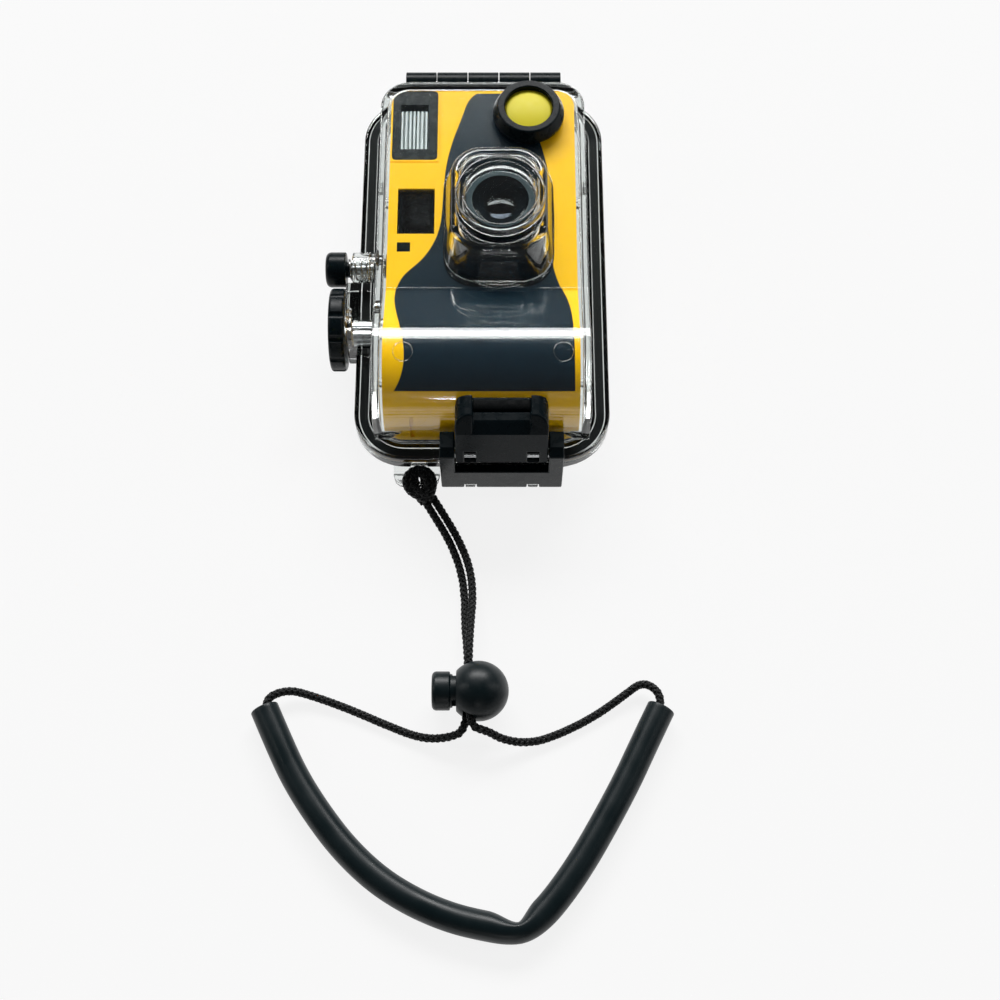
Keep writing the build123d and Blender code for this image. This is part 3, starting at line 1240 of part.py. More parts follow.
switch_bottom = room_top - running_gap - switch_flange_thick

with BuildPart() as flash_switch:
    rod_z(switch_radius, switch_bottom, pusher_tip - press_gap, flash_x, flash_y)
    rod_z(switch_radius + switch_flange, switch_bottom, switch_bottom + switch_flange_thick, flash_x, flash_y)
save(flash_switch, "flash_switch")

# Film cartridge, film, roll and the wheels that move them
can_low_x = film_x - can_length / 2
can_high_x = film_x + can_length / 2
can_lip_end = can_wall_y - chassis_wall - seat_gap
can_room = can_radius - can_wall
lip_root_y = grip_axis_y + can_radius / 2

with BuildPart() as film_cartridge:
    rod_x(can_radius, can_low_x, can_high_x, grip_axis_y, grip_axis_z)
    side_prism(((grip_axis_y, can_lip_low), (can_lip_end, can_lip_low), (can_lip_end, can_lip_low + can_lip_thick),
                (lip_root_y, can_lip_low + 2 * can_lip_thick), (grip_axis_y, can_lip_low + 2 * can_lip_thick)),
               can_low_x, can_high_x)
    rod_x(can_room, can_low_x + can_wall, can_high_x - can_wall, grip_axis_y, grip_axis_z, mode=Mode.SUBTRACT)
    rod_x(spool_end_radius + running_gap, can_low_x - overrun, can_high_x + overrun, grip_axis_y, grip_axis_z,
          mode=Mode.SUBTRACT)
    side_prism(((grip_axis_y + overrun, film_plane - running_gap), (can_lip_end + overrun, film_plane - running_gap),
                (can_lip_end + overrun, film_top + running_gap), (lip_root_y, film_top + running_gap),
                (grip_axis_y + overrun, film_top + can_slit_rise)),
               film_left - running_gap, film_right + running_gap, mode=Mode.SUBTRACT)
save(film_cartridge, "film_cartridge")

with BuildPart() as film_strip:
    box_between((film_left, lip_root_y, film_plane), (film_right, roll_y, film_top))
    for edge_x in (film_left + perforation_inset, film_right - perforation_inset):
        with BuildSketch(Plane.XY.offset(0)) as holes:
            with Locations((edge_x, lens_y)):
                with GridLocations(perforation_step, perforation_step, 1, perforation_count):
                    Rectangle(*perforation_size)
        extrude(holes.sketch, amount=camera_split, mode=Mode.SUBTRACT)
save(film_strip, "film_strip")

spool_low_x = can_low_x - spool_reach
hub_high_x = spool_low_x - press_gap

with BuildPart() as cartridge_spool:
    rod_x(spool_radius, can_low_x + can_wall + seat_gap, can_high_x - can_wall - seat_gap, grip_axis_y, grip_axis_z)
    rod_x(spool_end_radius, spool_low_x, can_high_x - seat_gap, grip_axis_y, grip_axis_z)
save(cartridge_spool, "cartridge_spool")

with BuildPart() as thumbwheel:
    toothed_wheel(wheel_teeth, wheel_radius, gear_plane_x, gear_end_x, grip_axis_y, grip_axis_z,
                  mesh_angle + 180 / wheel_teeth)
    rod_x(wheel_hub_radius, gear_plane_x, hub_high_x, grip_axis_y, grip_axis_z)
    rod_x(wheel_stub_radius, stub_end, gear_plane_x, grip_axis_y, grip_axis_z)
    toothed_wheel(thumb_teeth, thumb_pitch_radius, disc_low_x, disc_high_x, grip_axis_y, grip_axis_z, 0)
save(thumbwheel, "thumbwheel")

with BuildPart() as supply_spool:
    rod_x(supply_spool_radius, film_left, film_right, roll_y, roll_z)
    rod_x(bearing_pin_radius, film_left - 2 * seat_gap - bearing_thick, film_right + 2 * seat_gap + bearing_thick,
          roll_y, roll_z)
save(supply_spool, "supply_spool")

with BuildPart() as film_roll:
    rod_x(roll_radius, film_left, film_right, roll_y, roll_z)
    rod_x(supply_spool_radius + press_gap, film_left - overrun, film_right + overrun, roll_y, roll_z,
          mode=Mode.SUBTRACT)
save(film_roll, "film_roll")

sprocket_reach = sprocket_wheel / 2 + bearing_thick + 2 * seat_gap

with BuildPart() as sprocket:
    toothed_wheel(sprocket_teeth, sprocket_radius, sprocket_x - sprocket_wheel / 2, sprocket_x + sprocket_wheel / 2,
                  sprocket_y, sprocket_z, 0)
    rod_x(sprocket_shaft_radius, sprocket_x - sprocket_reach, sprocket_x + sprocket_reach, sprocket_y, sprocket_z)
save(sprocket, "sprocket")

with BuildPart() as counter_dial:
    rod_x(dial_radius, gear_plane_x, gear_plane_x + dial_thick, dial_y, dial_z)
    rod_x(wheel_stub_radius, stub_end, gear_plane_x, dial_y, dial_z)
save(counter_dial, "counter_dial")

# Circuit board, capacitor, battery and contacts
with BuildPart() as circuit_board:
    slab((board_high[0] - board_low[0], board_high[1] - board_low[1]), board_corner, board_bottom, board_top,
         centre=((board_high[0] + board_low[0]) / 2, (board_high[1] + board_low[1]) / 2))
save(circuit_board, "circuit_board")

capacitor_start = roll_wall_y + chassis_wall + press_gap

with BuildPart() as flash_capacitor:
    rod_y(capacitor_radius, capacitor_start, capacitor_start + capacitor_length, capacitor_x, capacitor_z)
save(flash_capacitor, "flash_capacitor")

battery_start = battery_y - battery_length / 2
battery_end = battery_y + battery_length / 2

with BuildPart() as battery:
    rod_y(battery_radius, battery_start, battery_end - battery_nub, battery_x, battery_z)
    rod_y(battery_nub_radius, battery_end - battery_nub, battery_end, battery_x, battery_z)
save(battery, "battery")

with BuildPart() as battery_contacts:
    for wall_side, tip in ((can_wall_y + press_gap, battery_start - press_gap),
                           (roll_wall_y - press_gap, battery_end + press_gap)):
        plate_end = wall_side + (contact_thick if tip > wall_side else -contact_thick)
        box_between((battery_x - contact_size / 2, min(wall_side, plate_end), chassis_wall_top - contact_size),
                    (battery_x + contact_size / 2, max(wall_side, plate_end), chassis_wall_top))
        rod_y(battery_nub_radius, min(plate_end, tip), max(plate_end, tip), battery_x, battery_z)
save(battery_contacts, "battery_contacts")

# Lanyard: hitch at the lug, one cord loop, lock ball with its button and spring, wrist tube
left_strand = ((-15.8, -4.3, 2.75), (-13.1, -8.4, 1.7), (-8.7, -15.9, 1.25), (-5.6, -24.4, 1.25),
               (-4.5, -32.6, 2.0), (-4.4, -41.1, 4.2), (-3.4, -50.6, 6.65), (-3.3, -70.2, 6.4),
               (-9.0, -71.9, 4.0), (-16.0, -71.2, 1.5), (-24.5, -67.8, 1.25), (-35.0, -63.2, 1.25),
               (-44.5, -59.9, 2.0), (-51.5, -58.3, 3.2), (-57.9, -61.7, 3.75))
hose_run = ((-52.7, -72.9, 3.75), (-47.9, -82.4, 3.75), (-41.7, -91.6, 3.75), (-34.7, -100.3, 3.75),
            (-26.2, -108.1, 3.75), (-17.0, -113.7, 3.75), (-7.2, -117.7, 3.75), (1.7, -119.7, 3.75),
            (7.0, -120.5, 3.75), (11.1, -120.1, 3.75), (15.6, -116.9, 3.75), (20.2, -111.6, 3.75),
            (25.9, -103.6, 3.75), (31.6, -94.1, 3.75), (37.7, -83.2, 3.75), (42.7, -72.9, 3.75))
right_strand = ((48.6, -61.2, 3.75), (43.3, -55.8, 3.2), (37.5, -60.0, 2.0), (30.5, -64.9, 1.25),
                (22.5, -69.2, 1.25), (14.0, -72.5, 1.6), (6.5, -72.6, 4.2), (1.7, -70.8, 7.6),
                (-3.3, -69.8, 9.15), (-3.3, -50.6, 9.15), (-2.9, -41.1, 6.6), (-2.3, -32.6, 4.3),
                (-3.2, -23.8, 2.9), (-6.6, -14.7, 1.4), (-11.05, -7.05, 1.7), (-13.75, -2.95, 2.75))
hose_start = (-57.0, -63.7, 3.75)
hose_end = (47.4, -63.6, 3.75)
bend_share = 0.45


def from_lug(points):
    """Points of the lanyard, given from the lug's end, in their place."""
    return tuple((x, lug_end + y, z) for x, y, z in points)


def bend_radii(points):
    """Largest even radius at each inner point of a path."""
    spots = [Vector(*point) for point in points]
    radii = []
    for before, here, after in zip(spots, spots[1:], spots[2:]):
        turn = radians((here - before).get_angle(after - here))
        radii.append(bend_share * min((here - before).length, (after - here).length) / tan(turn / 2))
    return radii


def run_tube(points, radius, name):
    """Round bar along a path of straight runs and bends."""
    radii = bend_radii(points)
    with BuildLine() as path:
        FilletPolyline(*points, radius=radii)
    with BuildSketch(Plane(origin=points[0], z_dir=Vector(*points[1]) - Vector(*points[0]))) as section:
        Circle(radius)
    tube = sweep(section.sketch, path=path.wires()[0])
    print(name, "least radius", round(min(radii), 2), "length", round(path.wires()[0].length, 1),
          "volume share", round(tube.volume / (path.wires()[0].length * pi * radius ** 2), 3))


cord_points = from_lug(left_strand + hose_run + right_strand)
hose_points = from_lug((hose_start,) + hose_run + (hose_end,))

with BuildPart() as lanyard_cord:
    run_tube(cord_points, cord / 2, "cord")
save(lanyard_cord, "lanyard_cord")

with BuildPart() as wrist_tube:
    run_tube(hose_points, hose / 2, "tube")
    with BuildPart(mode=Mode.SUBTRACT):
        run_tube(hose_points, hose_bore / 2, "bore")
save(wrist_tube, "wrist_tube")

hitch_centre_y = (lug_end + lug_hole_y - lug_hole_radius) / 2
hitch_centre_z = lug_low + lug_thick / 2
knot_way = (Vector(*cord_points[1]) - Vector(*cord_points[0])).normalized()
knot_end = (Vector(*cord_points[0]) + Vector(*cord_points[-1])) / 2

with BuildPart() as lanyard_hitch:
    for side in (-1, 1):
        with Locations(Location((lug_hole_x + side * hitch_strand_offset, hitch_centre_y, hitch_centre_z), (0, 90, 0))):
            Torus(hitch_ring_radius, cord / 2)
    with BuildPart() as knot:
        with BuildSketch(Plane(origin=knot_end, z_dir=knot_way)):
            Circle(hitch_knot_radius)
        extrude(amount=-hitch_knot_length)
        fillet(knot.edges().filter_by(GeomType.CIRCLE), hitch_knot_round)
save(lanyard_hitch, "lanyard_hitch")

lock_head_inner = lock_head_end + lock_head
lock_way = (cord_way_x - lock_way_width / 2, cord_way_x + lock_way_width / 2)

with BuildPart() as cord_lock_body:
    with Locations((ball_x, ball_y, ball_radius)):
        Sphere(ball_radius)
    rod_x(lock_stem_radius + running_gap, ball_x - 2 * ball_radius, lock_pocket_end, ball_y, ball_radius,
          mode=Mode.SUBTRACT)
    rod_x(lock_radius + running_gap, ball_x - 2 * ball_radius, lock_head_inner + lock_travel + seat_gap, ball_y,
          ball_radius, mode=Mode.SUBTRACT)
    box_between((lock_way[0], ball_y - 2 * ball_radius, ball_radius - lock_way_height / 2),
                (lock_way[1], ball_y + 2 * ball_radius, ball_radius + lock_way_height / 2), mode=Mode.SUBTRACT)
save(cord_lock_body, "cord_lock_body")

with BuildPart() as cord_lock_button:
    rod_x(lock_radius, lock_head_end, lock_head_inner, ball_y, ball_radius)
    fillet(cord_lock_button.edges().filter_by(GeomType.CIRCLE).sort_by(Axis.X)[0], lock_button_round)
    rod_x(lock_stem_radius, lock_head_inner, lock_stem_end, ball_y, ball_radius)
    box_between((lock_way[0] - lock_travel, ball_y - 2 * lock_radius, ball_radius - lock_way_height / 2),
                (lock_way[1], ball_y + 2 * lock_radius, ball_radius + lock_way_height / 2), mode=Mode.SUBTRACT)
save(cord_lock_button, "cord_lock_button")

with BuildPart() as cord_lock_spring:
    coil_spring(lock_spring_radius, lock_spring_turns,
                (lock_pocket_end - lock_spring_wire / 2 - press_gap, ball_y, ball_radius),
                (lock_stem_end + lock_spring_wire / 2 + press_gap, ball_y, ball_radius), lock_spring_wire)
save(cord_lock_spring, "cord_lock_spring")
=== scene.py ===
import json
from math import cos, pi, radians, sin

import bmesh
import bpy
from bpy.props import FloatProperty, FloatVectorProperty, IntProperty, PointerProperty
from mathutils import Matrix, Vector

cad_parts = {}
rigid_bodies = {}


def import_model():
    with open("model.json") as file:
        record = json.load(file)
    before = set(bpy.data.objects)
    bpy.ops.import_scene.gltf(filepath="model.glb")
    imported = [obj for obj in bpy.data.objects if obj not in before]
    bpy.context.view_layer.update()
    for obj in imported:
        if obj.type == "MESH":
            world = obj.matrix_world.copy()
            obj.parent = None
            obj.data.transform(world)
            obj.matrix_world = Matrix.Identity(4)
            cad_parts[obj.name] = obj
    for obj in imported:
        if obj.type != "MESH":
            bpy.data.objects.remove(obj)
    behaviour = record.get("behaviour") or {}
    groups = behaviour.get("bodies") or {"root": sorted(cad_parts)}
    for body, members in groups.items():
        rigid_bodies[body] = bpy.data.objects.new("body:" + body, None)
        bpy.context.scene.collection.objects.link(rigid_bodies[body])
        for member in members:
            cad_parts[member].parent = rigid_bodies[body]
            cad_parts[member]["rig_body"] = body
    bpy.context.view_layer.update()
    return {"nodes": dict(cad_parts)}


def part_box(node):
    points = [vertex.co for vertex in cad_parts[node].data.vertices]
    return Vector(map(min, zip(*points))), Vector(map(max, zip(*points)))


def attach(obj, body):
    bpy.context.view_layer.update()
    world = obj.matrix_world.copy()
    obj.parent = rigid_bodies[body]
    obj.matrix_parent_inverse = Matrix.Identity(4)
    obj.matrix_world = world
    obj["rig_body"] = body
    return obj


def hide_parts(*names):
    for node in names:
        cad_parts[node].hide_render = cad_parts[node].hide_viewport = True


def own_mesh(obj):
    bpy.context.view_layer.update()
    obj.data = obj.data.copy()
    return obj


bl_info = {
    "name": "Film camera in a dive housing",
    "version": (1, 0, 0),
    "blender": (4, 5, 0),
    "location": "View3D > Sidebar > Dive camera",
    "description": "Dresses the frame of a film camera in a clear dive housing, with its wrist lanyard",
    "category": "Add Mesh",
}

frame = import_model()

MM = 0.001
# Points of a frame part nearer than this are one point, and faces that meet at less than this are one face
MERGE = 0.002 * MM
FLAT_ANGLE = radians(0.15)
# A frame part's creases above the first angle shade sharp, and those above the second get a moulded rounding
CREASE_ANGLE = radians(17)
MOULDED_ANGLE = radians(50)
# Edges above this stay sharp on a finished piece
SHARP_ANGLE = radians(33)
# The braid, in shares of its diameter: its core's radius, a strand's radius, and how far a strand weaves
CORE_SHARE = 0.31
STRAND_SHARE = 0.155
WEAVE_SHARE = 0.045
# Corners round a thin sweep, and round one strand of the braid, of which there are hundreds of turns
ROUND_CORNERS = 8
STRAND_CORNERS = 5
# Steps along the lanyard, and along its cord and hitch
TUBE_STEP = 1.0 * MM
CORD_STEP = 0.3 * MM


def linear(code):
    """Linear colour of an sRGB hex value."""
    parts = [int(code[i:i + 2], 16) / 255 for i in (1, 3, 5)]
    return tuple(c / 12.92 if c <= 0.04045 else ((c + 0.055) / 1.055) ** 2.4 for c in parts)


def swatch(name, description, code):
    """Colour property with its default as an sRGB hex value."""
    return FloatVectorProperty(name=name, description=description, subtype="COLOR", size=3, min=0, max=1,
                               default=linear(code))


def size(name, description, millimetres):
    """Length property with its default in millimetres."""
    return FloatProperty(name=name, description=description, subtype="DISTANCE", unit="LENGTH", min=0,
                         default=millimetres * MM)


class HousingSettings(bpy.types.PropertyGroup):
    """Sizes and colours of the clear housing and its fittings."""
    clear: swatch("Clear shell", "Tint of the clear polycarbonate", "#F4F7F6")
    fittings: swatch("Fittings", "Colour of the black nylon fittings", "#0A1418")
    button: swatch("Flash button", "Colour of the soft flash button", "#EADC00")
    edge: size("Shell edge", "Rounding of the shells' moulded edges", 0.3)
    fitting_edge: size("Fitting edge", "Rounding of the edges of latch, hinge and knob", 0.35)


class CameraSettings(bpy.types.PropertyGroup):
    """Colours of the film camera."""
    body: swatch("Body", "Colour of the moulded front cover", "#FFC200")
    panel: swatch("Panel", "Colour of the printed front panel", "#12232E")
    hood: swatch("Lens housing", "Colour of the glossy lens housing", "#091318")
    edge: size("Cover edge", "Rounding of the camera's edges, less than half its narrowest groove", 0.12)


class LanyardSettings(bpy.types.PropertyGroup):
    """Sizes and colours of the wrist lanyard."""
    cord: swatch("Cord", "Colour of the braided cord", "#070B0C")
    tube: swatch("Tube", "Colour of the wrist tube", "#0A1A1E")
    lock: swatch("Cord lock", "Colour of the cord lock", "#08171B")
    diameter: size("Cord diameter", "Across the braid", 2.4)
    pitch: size("Braid pitch", "Length in which a strand goes once round", 6.0)
    tube_diameter: size("Tube diameter", "Outside of the wrist tube", 7.5)
    tube_wall: size("Tube wall", "Wall of the wrist tube", 1.9)
    strands: IntProperty(name="Strands", description="Strands that run each way round the braid", default=4,
                         min=2)


class StageSettings(bpy.types.PropertyGroup):
    """Floor and light."""
    floor: swatch("Floor", "Colour of the floor", "#F7F7F7")
    box: FloatProperty(name="Soft box", description="Power of the soft box behind the hinge", unit="POWER",
                       default=29, min=0)
    low: FloatProperty(name="Low lamp", description="Power of the lamp behind the lanyard", unit="POWER",
                       default=0.5, min=0)
    side: FloatProperty(name="Side strips", description="Power of the strip at each side", unit="POWER",
                        default=2, min=0)
    sky: FloatProperty(name="Sky", description="Strength of the dim sky", default=0.06, min=0)


def settings():
    """The scene's settings, one group a part."""
    scene = bpy.context.scene
    return scene.dive_housing, scene.dive_camera, scene.dive_lanyard, scene.dive_stage


# Materials
def add_node(tree, kind, values=None, links=None, **options):
    """Add a node with its options, socket values and incoming links. A link from a node starts at its
    first output."""
    node = tree.nodes.new(kind)
    for name, value in options.items():
        setattr(node, name, value)
    for name, value in (values or {}).items():
        node.inputs[name].default_value = value
    for name, source in (links or {}).items():
        tree.links.new(source.outputs[0] if hasattr(source, "outputs") else source, node.inputs[name])
    return node


def shade(colour, share=1.0):
    """Colour made darker or lighter, with full alpha."""
    return (*(min(c * share, 1.0) for c in colour), 1.0)


def start_material(name):
    """New node material: its node tree and its Object coordinates."""
    material = bpy.data.materials.new(name)
    material.use_nodes = True
    tree = material.node_tree
    tree.nodes.clear()
    place = add_node(tree, "ShaderNodeTexCoord").outputs["Object"]
    return material, tree, place


def moulded(name, colour, roughness, grain=0.3, depth=0.01, drift=0.06, wear=0.09, sockets=None):
    """Moulded plastic: the mould's fine grain, with colour and gloss that drift slowly over the piece.
    Its three noises are a cloud 11 mm wide, rubbed spots of 2.2 mm and the grain."""
    material, tree, place = start_material(name)
    cloud, rubbed, fine = [
        add_node(tree, "ShaderNodeTexNoise", {"Scale": 1 / (period * MM), "Detail": detail},
                 {"Vector": place}) for period, detail in ((11.0, 4.0), (2.2, 3.0), (grain, 2.0))]
    tint = add_node(tree, "ShaderNodeMix", {6: shade(colour, 1 - drift), 7: shade(colour, 1 + drift)},
                    {0: cloud}, data_type="RGBA")
    gloss = add_node(tree, "ShaderNodeMapRange", {
        "From Min": 0.3, "From Max": 0.7, "To Min": roughness - wear / 2, "To Max": roughness + wear},
        {"Value": rubbed})
    bumps = add_node(tree, "ShaderNodeBump", {"Strength": 1.0, "Distance": depth * MM}, {"Height": fine})
    shader = add_node(tree, "ShaderNodeBsdfPrincipled", sockets, {
        "Base Color": tint.outputs[2], "Roughness": gloss, "Normal": bumps})
    add_node(tree, "ShaderNodeOutputMaterial", links={"Surface": shader})
    return material


def clear_plastic(name, colour, ior, roughness, flow=14.0, flow_depth=0.012):
    """Clear moulding: polished, with slow flow waves, hairline scuffs and rounded edges. Lamps shine
    through it."""
    material, tree, place = start_material(name)
    waves = add_node(tree, "ShaderNodeTexNoise", {"Scale": 1 / (flow * MM), "Detail": 1.0}, {"Vector": place})
    rubbing = add_node(tree, "ShaderNodeMapping", {
        "Scale": (1.0, 0.08, 1.0), "Rotation": (0, 0, radians(24))}, {"Vector": place})
    scuffs = add_node(tree, "ShaderNodeTexNoise", {"Scale": 1 / (0.5 * MM), "Detail": 4.0, "Roughness": 0.65},
                      {"Vector": rubbing})
    gloss = add_node(tree, "ShaderNodeMapRange", {
        "From Min": 0.56, "From Max": 0.74, "To Min": roughness, "To Max": roughness + 0.10},
        {"Value": scuffs})
    rounded = add_node(tree, "ShaderNodeBevel", {"Radius": 0.35 * MM}, samples=6)
    wavy = add_node(tree, "ShaderNodeBump", {"Strength": 1.0, "Distance": flow_depth * MM},
                    {"Height": waves, "Normal": rounded})
    scuffed = add_node(tree, "ShaderNodeBump", {"Strength": 0.5, "Distance": 0.004 * MM},
                       {"Height": scuffs, "Normal": wavy})
    clear = add_node(tree, "ShaderNodeBsdfPrincipled", {
        "Base Color": shade(colour), "Transmission Weight": 1.0, "IOR": ior},
        {"Roughness": gloss, "Normal": scuffed})
    passing = add_node(tree, "ShaderNodeBsdfTransparent", {"Color": shade(colour, 0.97)})
    shadow = add_node(tree, "ShaderNodeLightPath").outputs["Is Shadow Ray"]
    mixed = add_node(tree, "ShaderNodeMixShader", None, {0: shadow, 1: clear, 2: passing})
    add_node(tree, "ShaderNodeOutputMaterial", links={"Surface": mixed})
    return material


def ribbed_window(name, low, high, ribs):
    """Clear ribbed window in front of the flash. Across each rib a band lets little light through, so its
    pale white shows, rough: a painted highlight for the light that the ribs gather; between the bands it is
    clear and glossy.
    """
    material, tree, place = start_material(name)
    across = add_node(tree, "ShaderNodeSeparateXYZ", None, {0: place}).outputs["X"]
    turns = add_node(tree, "ShaderNodeMapRange", {
        "From Min": low, "From Max": high, "To Min": 0.0, "To Max": 2 * pi * ribs}, {"Value": across},
        clamp=False)
    crown = add_node(tree, "ShaderNodeMath", None, {0: turns}, operation="COSINE")
    # Bands of pale white that let little light through: painted highlight for the light the ribs gather
    lit_band, passing = [
        add_node(tree, "ShaderNodeMapRange", {
            "From Min": -0.25, "From Max": 0.35, "To Min": start, "To Max": end}, {"Value": crown})
        for start, end in ((1.0, 0.08), (0.12, 1.0))]
    gloss = add_node(tree, "ShaderNodeMapRange", {
        "From Min": 0.0, "From Max": 1.0, "To Min": 0.05, "To Max": 0.3}, {"Value": lit_band})
    uneven = add_node(tree, "ShaderNodeTexNoise", {"Scale": 1 / (2.5 * MM), "Detail": 3.0}, {"Vector": place})
    white = linear("#E6ECEE")
    tint = add_node(tree, "ShaderNodeMix", {6: shade(white, 0.88), 7: shade(white, 1.12)}, {0: uneven},
                    data_type="RGBA")
    bumps = add_node(tree, "ShaderNodeBump", {"Strength": 1.0, "Distance": 0.01 * MM}, {"Height": uneven})
    shader = add_node(tree, "ShaderNodeBsdfPrincipled", {"IOR": 1.49}, {
        "Base Color": tint.outputs[2], "Transmission Weight": passing, "Roughness": gloss, "Normal": bumps})
    add_node(tree, "ShaderNodeOutputMaterial", links={"Surface": shader})
    return material


def metal(name, colour, roughness, period, stretch):
    """Bare metal: drawn or turned lines along one direction, with a few duller spots."""
    material, tree, place = start_material(name)
    along = add_node(tree, "ShaderNodeMapping", {"Scale": stretch}, {"Vector": place})
    lines = add_node(tree, "ShaderNodeTexNoise", {"Scale": 1 / (period * MM), "Detail": 3.0},
                     {"Vector": along})
    spots = add_node(tree, "ShaderNodeTexNoise", {"Scale": 1 / (3.0 * MM), "Detail": 3.0}, {"Vector": place})
    tint = add_node(tree, "ShaderNodeMix", {6: shade(colour, 0.94), 7: shade(colour, 1.06)}, {0: spots},
                    data_type="RGBA")
    gloss = add_node(tree, "ShaderNodeMapRange", {
        "From Min": 0.3, "From Max": 0.7, "To Min": roughness - 0.06, "To Max": roughness + 0.10},
        {"Value": lines})
    bumps = add_node(tree, "ShaderNodeBump", {"Strength": 1.0, "Distance": 0.002 * MM}, {"Height": lines})
    shader = add_node(tree, "ShaderNodeBsdfPrincipled", {"Metallic": 1.0}, {
        "Base Color": tint.outputs[2], "Roughness": gloss, "Normal": bumps})
    add_node(tree, "ShaderNodeOutputMaterial", links={"Surface": shader})
    return material


def lanyard_finish(name, colour, stretch, line, detail, cloud, cloud_detail, drift, gloss_from, shine, depth,
                   sockets):
    """Cord or tube: lines run along it, so many millimetres apart, and its colour drifts in clouds. Its
    gloss follows the lines or the clouds."""
    material, tree, place = start_material(name)
    along = add_node(tree, "ShaderNodeUVMap", uv_map="strand")
    drawn = add_node(tree, "ShaderNodeMapping", {"Scale": (stretch, 1.0, 1.0)}, {"Vector": along})
    lines = add_node(tree, "ShaderNodeTexNoise", {"Scale": 1 / (line * MM), "Detail": detail},
                     {"Vector": drawn})
    clouds = add_node(tree, "ShaderNodeTexNoise", {"Scale": 1 / (cloud * MM), "Detail": cloud_detail},
                      {"Vector": place})
    tint = add_node(tree, "ShaderNodeMix", {6: shade(colour, 1 - drift), 7: shade(colour, 1 + drift)},
                    {0: clouds}, data_type="RGBA")
    gloss = add_node(tree, "ShaderNodeMapRange", {
        "From Min": 0.3, "From Max": 0.7, "To Min": shine[0], "To Max": shine[1]},
        {"Value": lines if gloss_from == "lines" else clouds})
    bumps = add_node(tree, "ShaderNodeBump", {"Strength": 1.0, "Distance": depth * MM}, {"Height": lines})
    shader = add_node(tree, "ShaderNodeBsdfPrincipled", sockets, {
        "Base Color": tint.outputs[2], "Roughness": gloss, "Normal": bumps})
    add_node(tree, "ShaderNodeOutputMaterial", links={"Surface": shader})
    return material


